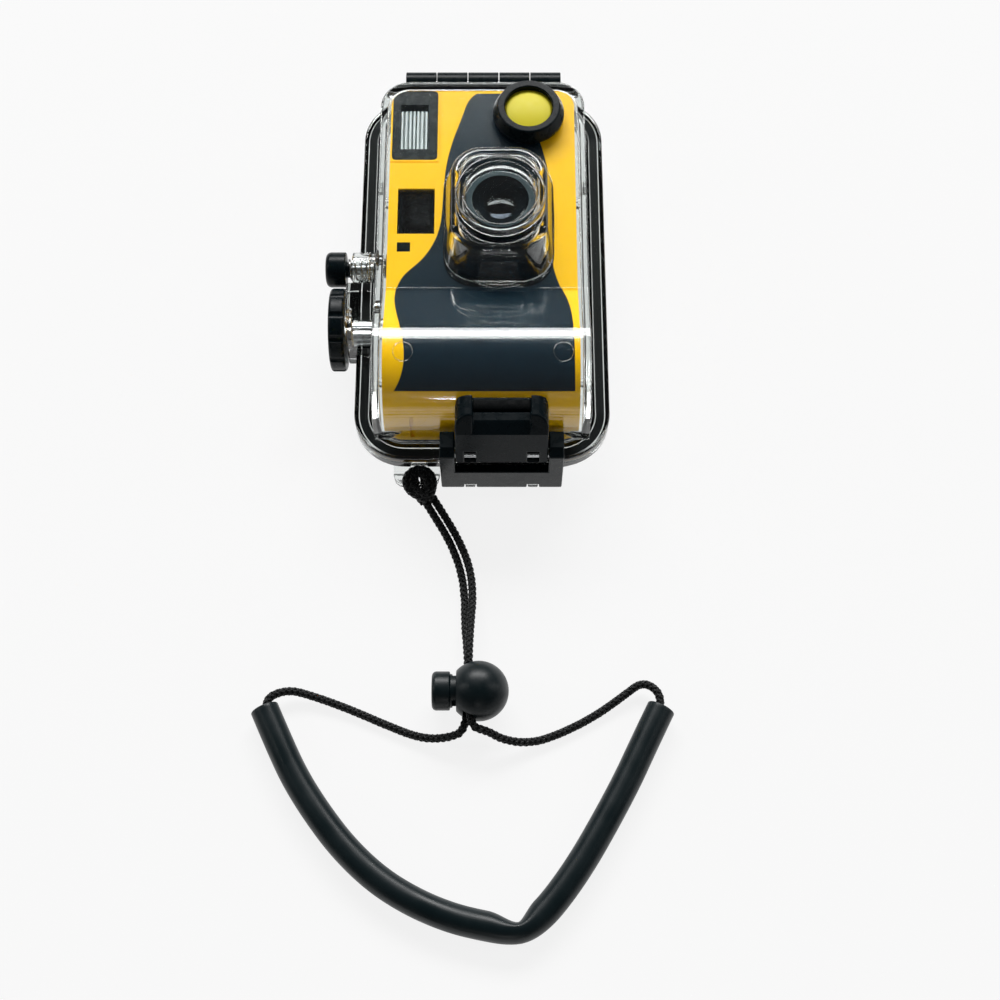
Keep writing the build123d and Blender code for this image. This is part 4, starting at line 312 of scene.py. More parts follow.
def make_finish(name):
    """One of the finishes, made the first time it is asked for."""
    housing, camera, lanyard, _ = settings()
    # Tint, index, roughness, and the flow waves' width and depth in millimetres
    clear = {
        # Clear injection-moulded polycarbonate: high index, bright edges, slight flow waves
        "clear_polycarbonate_polished": (housing.clear, 1.585, 0.015),
        # Clear acrylic of the small windows: cleaner and flatter than the housing
        "clear_acrylic_polished": (linear("#F0F5F8"), 1.49, 0.01, 5.0, 0.01),
        # Moulded acrylic lens with a thin coating: clear, with a blue-violet tint
        "acrylic_lens_coated": (linear("#CFD8EA"), 1.49, 0.0, 4.0, 0.002),
    }
    # Colour, roughness, the grain's width and depth in millimetres, drift of the colour, wear of the gloss
    plastics = {
        # Black nylon, lightly spark-textured, rubbed smoother by hands
        "black_nylon_textured": (housing.fittings, 0.27, 0.22, 0.012, 0.12, 0.08, {
            "Specular IOR Level": 0.15}),
        # Black ABS from a polished mould: wet-looking gloss
        "black_abs_gloss": (camera.hood, 0.09, 0.8, 0.002, 0.08, 0.02, {
            "Specular IOR Level": 0.3, "Coat Weight": 0.12, "Coat Roughness": 0.04}),
        # Satin slate for the upward faces of the barrel's top round the lens, a shade lighter than the black
        # round it: painted light on the top
        "slate_abs_satin": (linear("#24343A"), 0.2, 0.5, 0.002, 0.06, 0.03),
        # Black polystyrene of the camera's black pieces, satin
        "black_styrene_satin": (linear("#0B1418"), 0.26, 0.3, 0.006, 0.08, 0.06, {
            "Specular IOR Level": 0.15}),
        # Printed plastic label in dark blue-grey, satin with a faint mottle
        "dark_label_satin": (camera.panel, 0.18, 0.5, 0.003, 0.05, 0.02, {"Specular IOR Level": 0.3}),
        # Yellow polystyrene cover, semi-gloss with slight sink marks
        "yellow_styrene_semigloss": (camera.body, 0.2, 0.6, 0.005, 0.03, 0.03, {"Specular IOR Level": 0.22}),
        # Yellow silicone rubber of the flash button, matte and a little translucent
        "yellow_silicone_matte": (housing.button, 0.5, 0.35, 0.01, 0.05, 0.06, {
            "Subsurface Weight": 0.15, "Subsurface Radius": (0.004, 0.003, 0.001), "Sheen Weight": 0.15}),
        # Black nitrile rubber of gasket and seals, smooth and a little dull
        "black_nitrile_smooth": (linear("#0A1012"), 0.4, 0.4, 0.008, 0.1, 0.08, {"Specular IOR Level": 0.22}),
        # Grey ABS of the camera's inner moving pieces, plain mould finish
        "grey_abs_moulded": (linear("#3A3E40"), 0.42, 0.35, 0.01, 0.05),
        # White acetal of gears and spools: waxy, with light going a little way in
        "white_acetal_waxy": (linear("#DEDDD6"), 0.36, 0.4, 0.006, 0.03, 0.06, {"Subsurface Weight": 0.1}),
        # Film base and emulsion edge: brown, satin
        "film_base_satin": (linear("#5A3220"), 0.22, 1.2, 0.002, 0.08),
        # Green solder mask over copper: fine weave of the glass cloth below
        "solder_mask_green": (linear("#1C5A34"), 0.3, 0.5, 0.01, 0.12),
        # Grey shrink film on the cell and the capacitor: glossy and a little uneven
        "shrink_film_grey": (linear("#2B3038"), 0.2, 2.0, 0.01, 0.1),
        # Lacquered tinplate of the film cartridge: a metal's gleam under a coloured lacquer
        "lacquered_tinplate": (linear("#C9A53B"), 0.22, 1.0, 0.003, 0.08, 0.06, {"Metallic": 0.35}),
        # Moulded dark plastic of the cord lock: eggshell
        "black_abs_eggshell": (lanyard.lock, 0.36, 0.4, 0.012, 0.12, 0.08, {"Specular IOR Level": 0.35}),
    }
    # Colour, roughness, the lines' width in millimetres, and how they stretch along x, y and z
    metals = {
        # Drawn stainless steel of pins and shafts: fine lines along x
        "stainless_drawn": (linear("#B9BBBD"), 0.24, 0.12, (0.05, 1.0, 1.0)),
        # Bright drawn spring wire: sharp small highlights
        "spring_wire_bright": (linear("#C4C6C8"), 0.18, 0.15, (1.0, 1.0, 1.0)),
        # Nickel-plated screw head, turned: warm silver with fine tool marks
        "nickel_turned": (linear("#CDC9C2"), 0.16, 0.1, (1.0, 0.2, 1.0)),
        # Stamped brass contacts: yellow metal with soft rolling marks
        "brass_stamped": (linear("#C8A457"), 0.28, 0.3, (1.0, 1.0, 0.3)),
        # Bright rolled aluminium of the flash reflector: nearly a mirror
        "aluminium_bright": (linear("#DADCDD"), 0.12, 0.6, (1.0, 0.3, 1.0)),
    }
    # Colour, the lines' stretch, width in millimetres and detail, the clouds' width and detail, drift of the
    # colour, what the gloss follows and its range, the lines' depth in millimetres
    strands = {
        # Braided polyester: filaments run along each strand, with a silky sheen. They are drawn about
        # 0.12 mm apart, coarser than the real ones, so that they show.
        "polyester_braid": (lanyard.cord, 0.08, 0.12, 2.0, 1.4, 3.0, 0.35, "lines", (0.38, 0.62), 0.05, {
            "Sheen Weight": 0.1, "Sheen Roughness": 0.4, "Specular IOR Level": 0.35}),
        # Extruded soft vinyl: satin, with faint die lines along the tube and a handled bloom
        "vinyl_tube_satin": (lanyard.tube, 0.03, 0.5, 3.0, 8.0, 4.0, 0.14, "clouds", (0.3, 0.44), 0.02, {
            "Specular IOR Level": 0.4}),
    }
    kinds = ((clear_plastic, clear), (moulded, plastics), (metal, metals), (lanyard_finish, strands))
    for make, rows in kinds:
        if name in rows:
            return make(name, *rows[name])
    # Ribbed clear acrylic of the flash window, with painted highlight bands across its ribs
    if name == "acrylic_ribbed":
        low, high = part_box("flash_diffuser")
        return ribbed_window(name, low[0], high[0], RIBS)
    raise ValueError("no finish is named " + name)


def finish(name):
    """A material by name."""
    return bpy.data.materials.get(name) or make_finish(name)


# Pieces
def paint(node, name):
    """Give a frame part that keeps its shape a better material."""
    part = frame["nodes"][node]
    if not part.material_slots:
        part.data.materials.append(finish(name))
    for slot in part.material_slots:
        slot.material = finish(name)


def body_name(node):
    """Body that a frame part rides on."""
    return frame["nodes"][node]["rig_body"]


def new_piece(name, shape, finish_name):
    """Object from a bmesh, with its material, smooth apart from its sharp edges."""
    mesh = bpy.data.meshes.new(name)
    for face in shape.faces:
        face.smooth = True
    for edge in shape.edges:
        if len(edge.link_faces) != 2 or edge.calc_face_angle(0.0) > SHARP_ANGLE:
            edge.smooth = False
    shape.to_mesh(mesh)
    shape.free()
    mesh.materials.append(finish(finish_name))
    piece = bpy.data.objects.new(name, mesh)
    bpy.context.scene.collection.objects.link(piece)
    return piece


def set_in(piece, nodes):
    """Let a piece stand for frame parts: it rides with their body, and they are hidden."""
    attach(piece, body_name(nodes[0]))
    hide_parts(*nodes)
    return piece


def part_shape(node):
    """Joined copy of a frame part's mesh, with its flat faces whole."""
    shape = bmesh.new()
    shape.from_mesh(frame["nodes"][node].data)
    bmesh.ops.remove_doubles(shape, verts=shape.verts, dist=MERGE)
    bmesh.ops.dissolve_limit(shape, angle_limit=FLAT_ANGLE, verts=shape.verts, edges=shape.edges)
    return shape


def softened(node, name, finish_name, edge, segments=3, clamped=False):
    """A frame part's shape with its moulded edges rounded, standing for that part. Its low creases
    stay crisp, and no corner leaves the frame part's own box. Clamped edges never run into each other."""
    shape = part_shape(node)
    low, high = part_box(node)
    angles = {e: e.calc_face_angle(0.0) for e in shape.edges if len(e.link_faces) == 2}
    for crease, angle in angles.items():
        crease.smooth = angle < CREASE_ANGLE
    moulded_edges = [e for e, angle in angles.items() if angle > MOULDED_ANGLE]
    bmesh.ops.bevel(shape, geom=moulded_edges, offset=edge, offset_type="OFFSET", segments=segments,
                    profile=0.5, affect="EDGES", clamp_overlap=clamped, material=-1, loop_slide=True)
    for vertex in shape.verts:
        vertex.co = [min(max(place, bottom), top) for place, bottom, top in zip(vertex.co, low, high)]
    bmesh.ops.remove_doubles(shape, verts=shape.verts, dist=MERGE)
    piece = new_piece(name, shape, finish_name)
    weights = piece.modifiers.new("Even shading", "WEIGHTED_NORMAL")
    weights.keep_sharp = True
    return set_in(piece, [node])


def squashed_spring(node, name):
    """A frame spring's copy, with a mesh of its own, standing for it."""
    spring = set_in(new_piece(name, part_shape(node), "spring_wire_bright"), [node])
    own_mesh(spring)


def rounded_plate(centre, sides, corner, bottom, thick):
    """Flat plate with round corners and a softened rim; all values in millimetres."""
    shape = bmesh.new()
    bmesh.ops.create_grid(shape, x_segments=1, y_segments=1, size=0.5)
    bmesh.ops.scale(shape, verts=shape.verts, vec=(sides[0] * MM, sides[1] * MM, 1))
    bmesh.ops.translate(shape, verts=shape.verts, vec=Vector((*centre, bottom)) * MM)
    bmesh.ops.bevel(shape, geom=shape.verts, offset=corner * MM, offset_type="OFFSET", segments=10,
                    profile=0.5, affect="VERTICES", material=-1)
    body = bmesh.ops.extrude_face_region(shape, geom=shape.faces)
    bmesh.ops.translate(shape, verts=[v for v in body["geom"] if isinstance(v, bmesh.types.BMVert)],
                        vec=(0, 0, thick * MM))
    bmesh.ops.recalc_face_normals(shape, faces=shape.faces)
    corners = [e for e in shape.edges if e.calc_face_angle(0.0) > MOULDED_ANGLE]
    bmesh.ops.bevel(shape, geom=corners, offset=thick * MM / 4, offset_type="OFFSET", segments=2, profile=0.5,
                    affect="EDGES")
    return shape


def curve_line(points, resolution=12):
    """Points of the smooth line that a route's NURBS spline follows."""
    curve = bpy.data.curves.new("route", "CURVE")
    curve.dimensions = "3D"
    curve.resolution_u = resolution
    spline = curve.splines.new("NURBS")
    spline.points.add(len(points) - 1)
    for spot, point in zip(spline.points, points):
        spot.co = (*(c * MM for c in point), 1.0)
    spline.order_u = 3
    spline.use_endpoint_u = True
    holder = bpy.data.objects.new("route", curve)
    bpy.context.scene.collection.objects.link(holder)
    bpy.context.view_layer.update()
    mesh = bpy.data.meshes.new_from_object(holder.evaluated_get(bpy.context.evaluated_depsgraph_get()))
    line = [vertex.co.copy() for vertex in mesh.vertices]
    bpy.data.objects.remove(holder)
    bpy.data.curves.remove(curve)
    bpy.data.meshes.remove(mesh)
    return line


def even_steps(line, step):
    """Points a fixed step apart along a line, from its first to its last point."""
    total = sum((b - a).length for a, b in zip(line, line[1:]))
    count = max(2, round(total / step))
    spots, travelled, index = [line[0].copy()], 0.0, 0
    for number in range(1, count):
        wanted = total * number / count
        while travelled + (line[index + 1] - line[index]).length < wanted:
            travelled += (line[index + 1] - line[index]).length
            index += 1
        share = (wanted - travelled) / (line[index + 1] - line[index]).length
        spots.append(line[index].lerp(line[index + 1], share))
    return spots + [line[-1].copy()]


def cross_frames(line):
    """Two directions across a line at each point, carried along it without twist."""
    heading = (line[1] - line[0]).normalized()
    side = heading.cross(Vector((0, 0, 1))).normalized()
    frames = []
    for index, spot in enumerate(line):
        before, after = line[max(index - 1, 0)], line[min(index + 1, len(line) - 1)]
        turned = (after - before).normalized()
        side = heading.rotation_difference(turned) @ side
        side = (side - turned * side.dot(turned)).normalized()
        frames.append((side, turned.cross(side)))
        heading = turned
    return frames


def sweep(shape, line, radius, corners=ROUND_CORNERS):
    """Round skin along a line. Its UV map holds the length along it and the way round it, in metres."""
    frames = cross_frames(line)
    layer = shape.loops.layers.uv.get("strand") or shape.loops.layers.uv.new("strand")
    turns = [2 * pi * k / corners for k in range(corners)]
    rings = [[shape.verts.new(spot + (side * cos(turn) + up * sin(turn)) * radius) for turn in turns]
             for spot, (side, up) in zip(line, frames)]
    rim = 2 * pi * radius / corners
    travelled = 0.0
    for index, (low, high) in enumerate(zip(rings, rings[1:])):
        length = (line[index + 1] - line[index]).length
        for k in range(corners):
            face = shape.faces.new((low[k], low[(k + 1) % corners], high[(k + 1) % corners], high[k]))
            spans = ((0, k), (0, k + 1), (length, k + 1), (length, k))
            for loop, (run, around) in zip(face.loops, spans):
                loop[layer].uv = (travelled + run, around * rim)
        travelled += length
    shape.faces.new(list(reversed(rings[0])))
    shape.faces.new(rings[-1])
    return rings


def braid(shape, line, diameter, pitch, strands):
    """Plain round braid about a line: as many strands each way, over and under each other."""
    sweep(shape, line, CORE_SHARE * diameter)
    frames = cross_frames(line)
    strand_radius = STRAND_SHARE * diameter
    swing = WEAVE_SHARE * diameter
    middle = 0.5 * diameter - strand_radius - swing
    travelled = [0.0]
    for a, b in zip(line, line[1:]):
        travelled.append(travelled[-1] + (b - a).length)
    for way in (1, -1):
        for number in range(strands):
            path = []
            for spot, (side, up), run in zip(line, frames, travelled):
                turn = 2 * pi * run / pitch
                angle = way * turn + 2 * pi * number / strands
                radius = middle + way * swing * cos(strands * turn)
                path.append(spot + side * (radius * cos(angle)) + up * (radius * sin(angle)))
            sweep(shape, path, strand_radius, STRAND_CORNERS)


# The lanyard's route: the same points as the frame's, in millimetres
LEFT_STRAND = ((-15.8, -66.7, 2.75), (-13.1, -70.8, 1.7), (-8.7, -78.3, 1.25), (-5.6, -86.8, 1.25),
               (-4.5, -95.0, 2.0), (-4.4, -103.5, 4.2), (-3.4, -113.0, 6.65), (-3.3, -132.6, 6.4),
               (-9.0, -134.3, 4.0), (-16.0, -133.6, 1.5), (-24.5, -130.2, 1.25), (-35.0, -125.6, 1.25),
               (-44.5, -122.3, 2.0), (-51.5, -120.7, 3.2), (-57.9, -124.1, 3.75))
TUBE_RUN = ((-52.7, -135.3, 3.75), (-47.9, -144.8, 3.75), (-41.7, -154.0, 3.75), (-34.7, -162.7, 3.75),
            (-26.2, -170.5, 3.75), (-17.0, -176.1, 3.75), (-7.2, -180.1, 3.75), (1.7, -182.1, 3.75),
            (7.0, -182.9, 3.75), (11.1, -182.5, 3.75), (15.6, -179.3, 3.75), (20.2, -174.0, 3.75),
            (25.9, -166.0, 3.75), (31.6, -156.5, 3.75), (37.7, -145.6, 3.75), (42.7, -135.3, 3.75))
RIGHT_STRAND = ((48.6, -123.6, 3.75), (43.3, -118.2, 3.2), (37.5, -122.4, 2.0), (30.5, -127.3, 1.25),
                (22.5, -131.6, 1.25), (14.0, -134.9, 1.6), (6.5, -135.0, 4.2), (1.7, -133.2, 7.6),
                (-3.3, -132.2, 9.15), (-3.3, -113.0, 9.15), (-2.9, -103.5, 6.6), (-2.3, -95.0, 4.3),
                (-3.2, -86.2, 2.9), (-6.6, -77.1, 1.4), (-11.05, -69.45, 1.7), (-13.75, -65.35, 2.75))
TUBE_ENDS = ((-57.0, -126.1, 3.75), (47.4, -126.0, 3.75))

# The hitch: two turns that lie round the lug's hole, and two legs that go down through the hole and
# out below the lug's end, in millimetres
HITCH_TURNS = (
    ((-15.4, -66.6, 3.9), (-19.2, -65.9, 6.0), (-21.2, -63.4, 7.0), (-20.7, -60.2, 7.2), (-17.6, -58.4, 7.3),
     (-14.3, -59.7, 7.2), (-13.3, -62.6, 6.9), (-13.9, -65.2, 5.6), (-14.6, -66.3, 4.0)),
    ((-14.2, -66.2, 3.6), (-17.0, -65.4, 6.6), (-19.4, -64.0, 6.9), (-19.7, -61.2, 7.1), (-17.4, -59.7, 7.2),
     (-15.1, -61.1, 7.1), (-15.0, -63.6, 6.9), (-15.6, -65.6, 5.4), (-16.0, -66.7, 3.7)),
    ((-18.8, -60.5, 7.0), (-18.7, -60.9, 4.2), (-18.4, -62.8, 1.45), (-17.6, -65.2, 1.4),
     (-16.1, -66.9, 2.3)),
    ((-16.2, -60.4, 7.0), (-16.2, -60.9, 4.2), (-16.0, -62.8, 1.45), (-15.0, -65.0, 1.4),
     (-14.0, -66.2, 2.3)))

# Ribs across the flash window
RIBS = 7


class DIVE_OT_wrist_tube(bpy.types.Operator):
    """Make the soft tube round the wrist end of the cord, with its wall and its pinched bend"""
    bl_idname = "dive.wrist_tube"
    bl_label = "Wrist tube"
    # Where the tube is pinched flat on the inside of its bend, how far that reaches along it, and how much
    pinch_at, pinch_reach, pinch_depth = Vector((9.4, -182.4, 3.75)) * MM, 8 * MM, 0.6
    pinch_side = Vector((-0.25, 1.0, 0)).normalized()
    corners, lip = 32, 0.25 * MM

    def execute(self, context):
        lanyard = context.scene.dive_lanyard
        line = even_steps(curve_line((TUBE_ENDS[0], *TUBE_RUN, TUBE_ENDS[1])), TUBE_STEP)
        shape = bmesh.new()
        rings = sweep(shape, line, lanyard.tube_diameter / 2, self.corners)
        bmesh.ops.delete(shape, geom=[f for f in shape.faces if len(f.verts) > 4], context="FACES_ONLY")
        for spot, ring in zip(line, rings):
            near = max(0.0, 1 - (spot - self.pinch_at).length / self.pinch_reach)
            near = near * near * (3 - 2 * near)
            for vertex in ring:
                toward = max(0.0, (vertex.co - spot).dot(self.pinch_side))
                vertex.co -= self.pinch_side * toward * self.pinch_depth * near
        bmesh.ops.recalc_face_normals(shape, faces=shape.faces)
        bmesh.ops.solidify(shape, geom=list(shape.faces), thickness=lanyard.tube_wall)
        lips = [e for e in shape.edges if len(e.link_faces) == 2 and e.calc_face_angle(0.0) > SHARP_ANGLE]
        bmesh.ops.bevel(shape, geom=lips, offset=self.lip, offset_type="OFFSET", segments=3, profile=0.5,
                        affect="EDGES", material=-1)
        set_in(new_piece("wrist_tube_sleeve", shape, "vinyl_tube_satin"), ["wrist_tube"])
        return {"FINISHED"}


class DIVE_OT_hitch(bpy.types.Operator):
    """Make the hitch that ties the doubled cord to the housing's lug"""
    bl_idname = "dive.hitch"
    bl_label = "Lanyard hitch"

    def execute(self, context):
        lanyard = context.scene.dive_lanyard
        shape = bmesh.new()
        for turn in HITCH_TURNS:
            line = even_steps(curve_line(turn), CORD_STEP)
            braid(shape, line, lanyard.diameter, lanyard.pitch, lanyard.strands)
        set_in(new_piece("lanyard_hitch_loops", shape, "polyester_braid"), ["lanyard_hitch"])
        return {"FINISHED"}


class DIVE_OT_cord(bpy.types.Operator):
    """Lay the braided cord from the hitch through the cord lock and the wrist tube and back"""
    bl_idname = "dive.cord"
    bl_label = "Lanyard cord"
    # Steps that the braid goes on inside the tube, and the plain cord's radius where the tube hides it
    hidden_steps, plain_share = 20, 0.46

    def execute(self, context):
        lanyard = context.scene.dive_lanyard
        line = even_steps(curve_line(LEFT_STRAND + TUBE_RUN + RIGHT_STRAND), CORD_STEP)
        mouths = [min(line, key=lambda spot: (spot - Vector(end) * MM).length) for end in TUBE_ENDS]
        first = line.index(mouths[0]) + self.hidden_steps
        last = line.index(mouths[1]) - self.hidden_steps
        shape = bmesh.new()
        for strand in (line[:first], line[last:]):
            braid(shape, strand, lanyard.diameter, lanyard.pitch, lanyard.strands)
        sweep(shape, line[first - 1:last + 1], lanyard.diameter * self.plain_share)
        cord = set_in(new_piece("braided_cord", shape, "polyester_braid"), ["lanyard_cord"])
        return {"FINISHED"}


class DIVE_OT_cord_lock(bpy.types.Operator):
    """Make the cord lock: its ball, its push button and its spring"""
    bl_idname = "dive.cord_lock"
    bl_label = "Cord lock"
    travel, edge = 2.8 * MM, 0.3 * MM

    def execute(self, context):
        softened("cord_lock_body", "lock_ball", "black_abs_eggshell", self.edge)
        softened("cord_lock_button", "lock_push", "black_abs_eggshell", self.edge)
        squashed_spring("cord_lock_spring", "lock_spring_coil")
        return {"FINISHED"}


class DIVE_OT_shells(bpy.types.Operator):
    """Dress the two clear shells, with their moulded edges rounded, and the gasket"""
    bl_idname = "dive.shells"
    bl_label = "Clear shells"
    # The rings that the mould's ejector pins leave on the grip's bulge, and the bulge, in millimetres
    ring_places, ring_y, ring_radius, ring_wire, ring_steps = (-20.8, 21.85), -38.6, 2.64, 0.14, 40
    bulge_y, bulge_z, bulge_radius = -36.0, 20.6, 18.15

    def execute(self, context):
        edge = context.scene.dive_housing.edge
        softened("front_shell", "front_shell_clear", "clear_polycarbonate_polished", edge)
        softened("rear_shell", "rear_shell_clear", "clear_polycarbonate_polished", edge)
        paint("gasket", "black_nitrile_smooth")
        shape = bmesh.new()
        for middle_x in self.ring_places:
            line = []
            for step in range(self.ring_steps + 1):
                turn = 2 * pi * step / self.ring_steps
                x, y = self.ring_radius * cos(turn), self.ring_y + self.ring_radius * sin(turn)
                height = (self.bulge_radius ** 2 - (y - self.bulge_y) ** 2) ** 0.5
                line.append(Vector((middle_x + x, y, self.bulge_z + height)) * MM)
            sweep(shape, line, self.ring_wire * MM)
        rings = new_piece("ejector_rings", shape, "clear_polycarbonate_polished")
        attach(rings, body_name("front_shell"))
        return {"FINISHED"}


class DIVE_OT_hinge_and_latch(bpy.types.Operator):
    """Dress the hinge and the latch with their pins"""
    bl_idname = "dive.hinge_and_latch"
    bl_label = "Hinge and latch"
    leaf_share = 0.3

    def execute(self, context):
        edge = context.scene.dive_housing.fitting_edge
        softened("rear_hinge_leaf", "hinge_leaf_rear", "black_nylon_textured", edge * self.leaf_share)
        softened("front_hinge_leaf", "hinge_leaf_front", "black_nylon_textured", edge * self.leaf_share)
        softened("latch_frame", "latch_hoop_body", "black_nylon_textured", edge)
        softened("latch_lever", "latch_grip_lever", "black_nylon_textured", edge)
        for node in ("hinge_pin", "latch_frame_pin", "latch_lever_pin"):
            paint(node, "stainless_drawn")
        return {"FINISHED"}


class DIVE_OT_controls(bpy.types.Operator):
    """Dress the advance knob, the shutter cap and the flash button, with what works them"""
    bl_idname = "dive.controls"
    bl_label = "Controls"
    travel, knob_share = 1.6 * MM, 0.7

    def execute(self, context):
        edge = context.scene.dive_housing.fitting_edge
        softened("advance_knob", "advance_knob_grip", "black_nylon_textured", edge * self.knob_share,
                 clamped=True)
        softened("shutter_cap", "shutter_cap_push", "black_nylon_textured", edge)
        softened("flash_button_ring", "flash_ring_collar", "black_nylon_textured", edge)
        softened("flash_button_cap", "flash_cap_dome", "yellow_silicone_matte", edge)
        for node in ("knob_shaft", "shutter_plunger", "plunger_clip"):
            paint(node, "stainless_drawn")
        for node in ("knob_seal", "plunger_seal"):
            paint(node, "black_nitrile_smooth")
        paint("knob_screw", "nickel_turned")
        squashed_spring("plunger_spring", "plunger_spring_coil")
        paint("drive_gear", "white_acetal_waxy")
        paint("flash_pusher", "black_styrene_satin")
        return {"FINISHED"}


class DIVE_OT_camera_body(bpy.types.Operator):
    """Dress the camera's covers, its front panel and its lens housing"""
    bl_idname = "dive.camera_body"
    bl_label = "Camera body"
    # The lens housing is a little fuller outside its barrel, and the barrel's top faces that look up get a
    # lighter slate: painted light
    barrel_wall, fullness, rim_depth, rim_slope = 3.3 * MM, 0.05, 0.3 * MM, 0.9
    # The flange round its foot, in millimetres
    foot_centre, foot_size, foot_corner, foot_thick = (4.6, 5.8), (30.4, 40.0), 8.7, 0.35

    def execute(self, context):
        edge = context.scene.dive_camera.edge
        softened("camera_front_cover", "front_cover_yellow", "yellow_styrene_semigloss", edge, clamped=True)
        softened("camera_rear_cover", "rear_cover_black", "black_styrene_satin", edge, clamped=True)
        softened("front_panel", "front_panel_label", "dark_label_satin", edge)
        hood = softened("lens_housing", "lens_housing_gloss", "black_abs_gloss", edge)
        low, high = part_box("lens_housing")
        middle = (low + high) / 2
        ring_low, ring_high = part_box("lens_ring")
        axis = (ring_low + ring_high) / 2
        barrel = (ring_high.x - ring_low.x) / 2 + self.barrel_wall
        for vertex in hood.data.vertices:
            if (vertex.co.xy - axis.xy).length > barrel:
                vertex.co.xy += (vertex.co.xy - middle.xy) * self.fullness
        # The barrel's upward top faces take the lighter slate: painted light on the top
        hood.data.materials.append(finish("slate_abs_satin"))
        for face in hood.data.polygons:
            if face.center.z > high.z - self.rim_depth and face.normal.z > self.rim_slope:
                face.material_index = 1
        plate = rounded_plate(self.foot_centre, self.foot_size, self.foot_corner, low.z / MM, self.foot_thick)
        foot = new_piece("lens_housing_foot", plate, "black_abs_gloss")
        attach(foot, body_name("lens_housing"))
        return {"FINISHED"}


class DIVE_OT_windows(bpy.types.Operator):
    """Dress the flash, the viewfinder and the small dark window"""
    bl_idname = "dive.windows"
    bl_label = "Windows"
    window_share = 0.4

    def execute(self, context):
        edge = context.scene.dive_camera.edge
        softened("flash_frame", "flash_surround", "black_styrene_satin", edge, clamped=True)
        softened("flash_diffuser", "flash_window_ribbed", "acrylic_ribbed", edge * self.window_share, 1)
        softened("viewfinder_front_lens", "viewfinder_window", "clear_acrylic_polished", edge)
        paint("viewfinder_tunnel", "black_styrene_satin")
        paint("indicator_window", "black_abs_gloss")
        paint("viewfinder_eyepiece", "clear_acrylic_polished")
        paint("flash_tube", "clear_acrylic_polished")
        paint("flash_reflector", "aluminium_bright")
        return {"FINISHED"}


class DIVE_OT_lens(bpy.types.Operator):
    """Make the stepped ring round the lens, and dress the lens"""
    bl_idname = "dive.lens"
    bl_label = "Lens"
    # Radius and height of the ring's section in millimetres, and the steps of its spin
    steps = 72
    profile = ((6.38, 0.0), (6.38, 1.6), (5.95, 1.6), (5.85, 1.32), (5.45, 1.32), (5.38, 1.02), (5.0, 1.02),
               (4.92, 0.72), (4.55, 0.72), (4.47, 0.4), (4.2, 0.4), (4.1, 0.0))

    def execute(self, context):
        shape = bmesh.new()
        low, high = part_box("lens_ring")
        middle = (low + high) / 2
        points = [shape.verts.new((middle.x + r * MM, middle.y, low.z + z * MM)) for r, z in self.profile]
        edges = [shape.edges.new(pair) for pair in zip(points, points[1:] + points[:1])]
        bmesh.ops.spin(shape, geom=points + edges, cent=(middle.x, middle.y, 0), axis=(0, 0, 1), angle=2 * pi,
                       steps=self.steps, use_merge=True)
        bmesh.ops.recalc_face_normals(shape, faces=shape.faces)
        set_in(new_piece("lens_ring_stepped", shape, "black_abs_gloss"), ["lens_ring"])
        paint("camera_lens", "acrylic_lens_coated")
        return {"FINISHED"}


class DIVE_OT_works(bpy.types.Operator):
    """Give the pieces inside the camera their materials"""
    bl_idname = "dive.works"
    bl_label = "Inside the camera"
    finishes = {
        "grey_abs_moulded": ("supply_spool", "thumbwheel", "camera_shutter_button", "flash_switch"),
        "black_styrene_satin": ("chassis",),
        "white_acetal_waxy": ("cartridge_spool", "sprocket", "counter_dial"),
        "film_base_satin": ("film_strip", "film_roll"),
        "lacquered_tinplate": ("film_cartridge",),
        "solder_mask_green": ("circuit_board",),
        "shrink_film_grey": ("flash_capacitor", "battery"),
        "brass_stamped": ("battery_contacts",),
        "stainless_drawn": ("shutter_blade",),
    }

    def execute(self, context):
        for name, nodes in self.finishes.items():
            for node in nodes:
                paint(node, name)
        return {"FINISHED"}


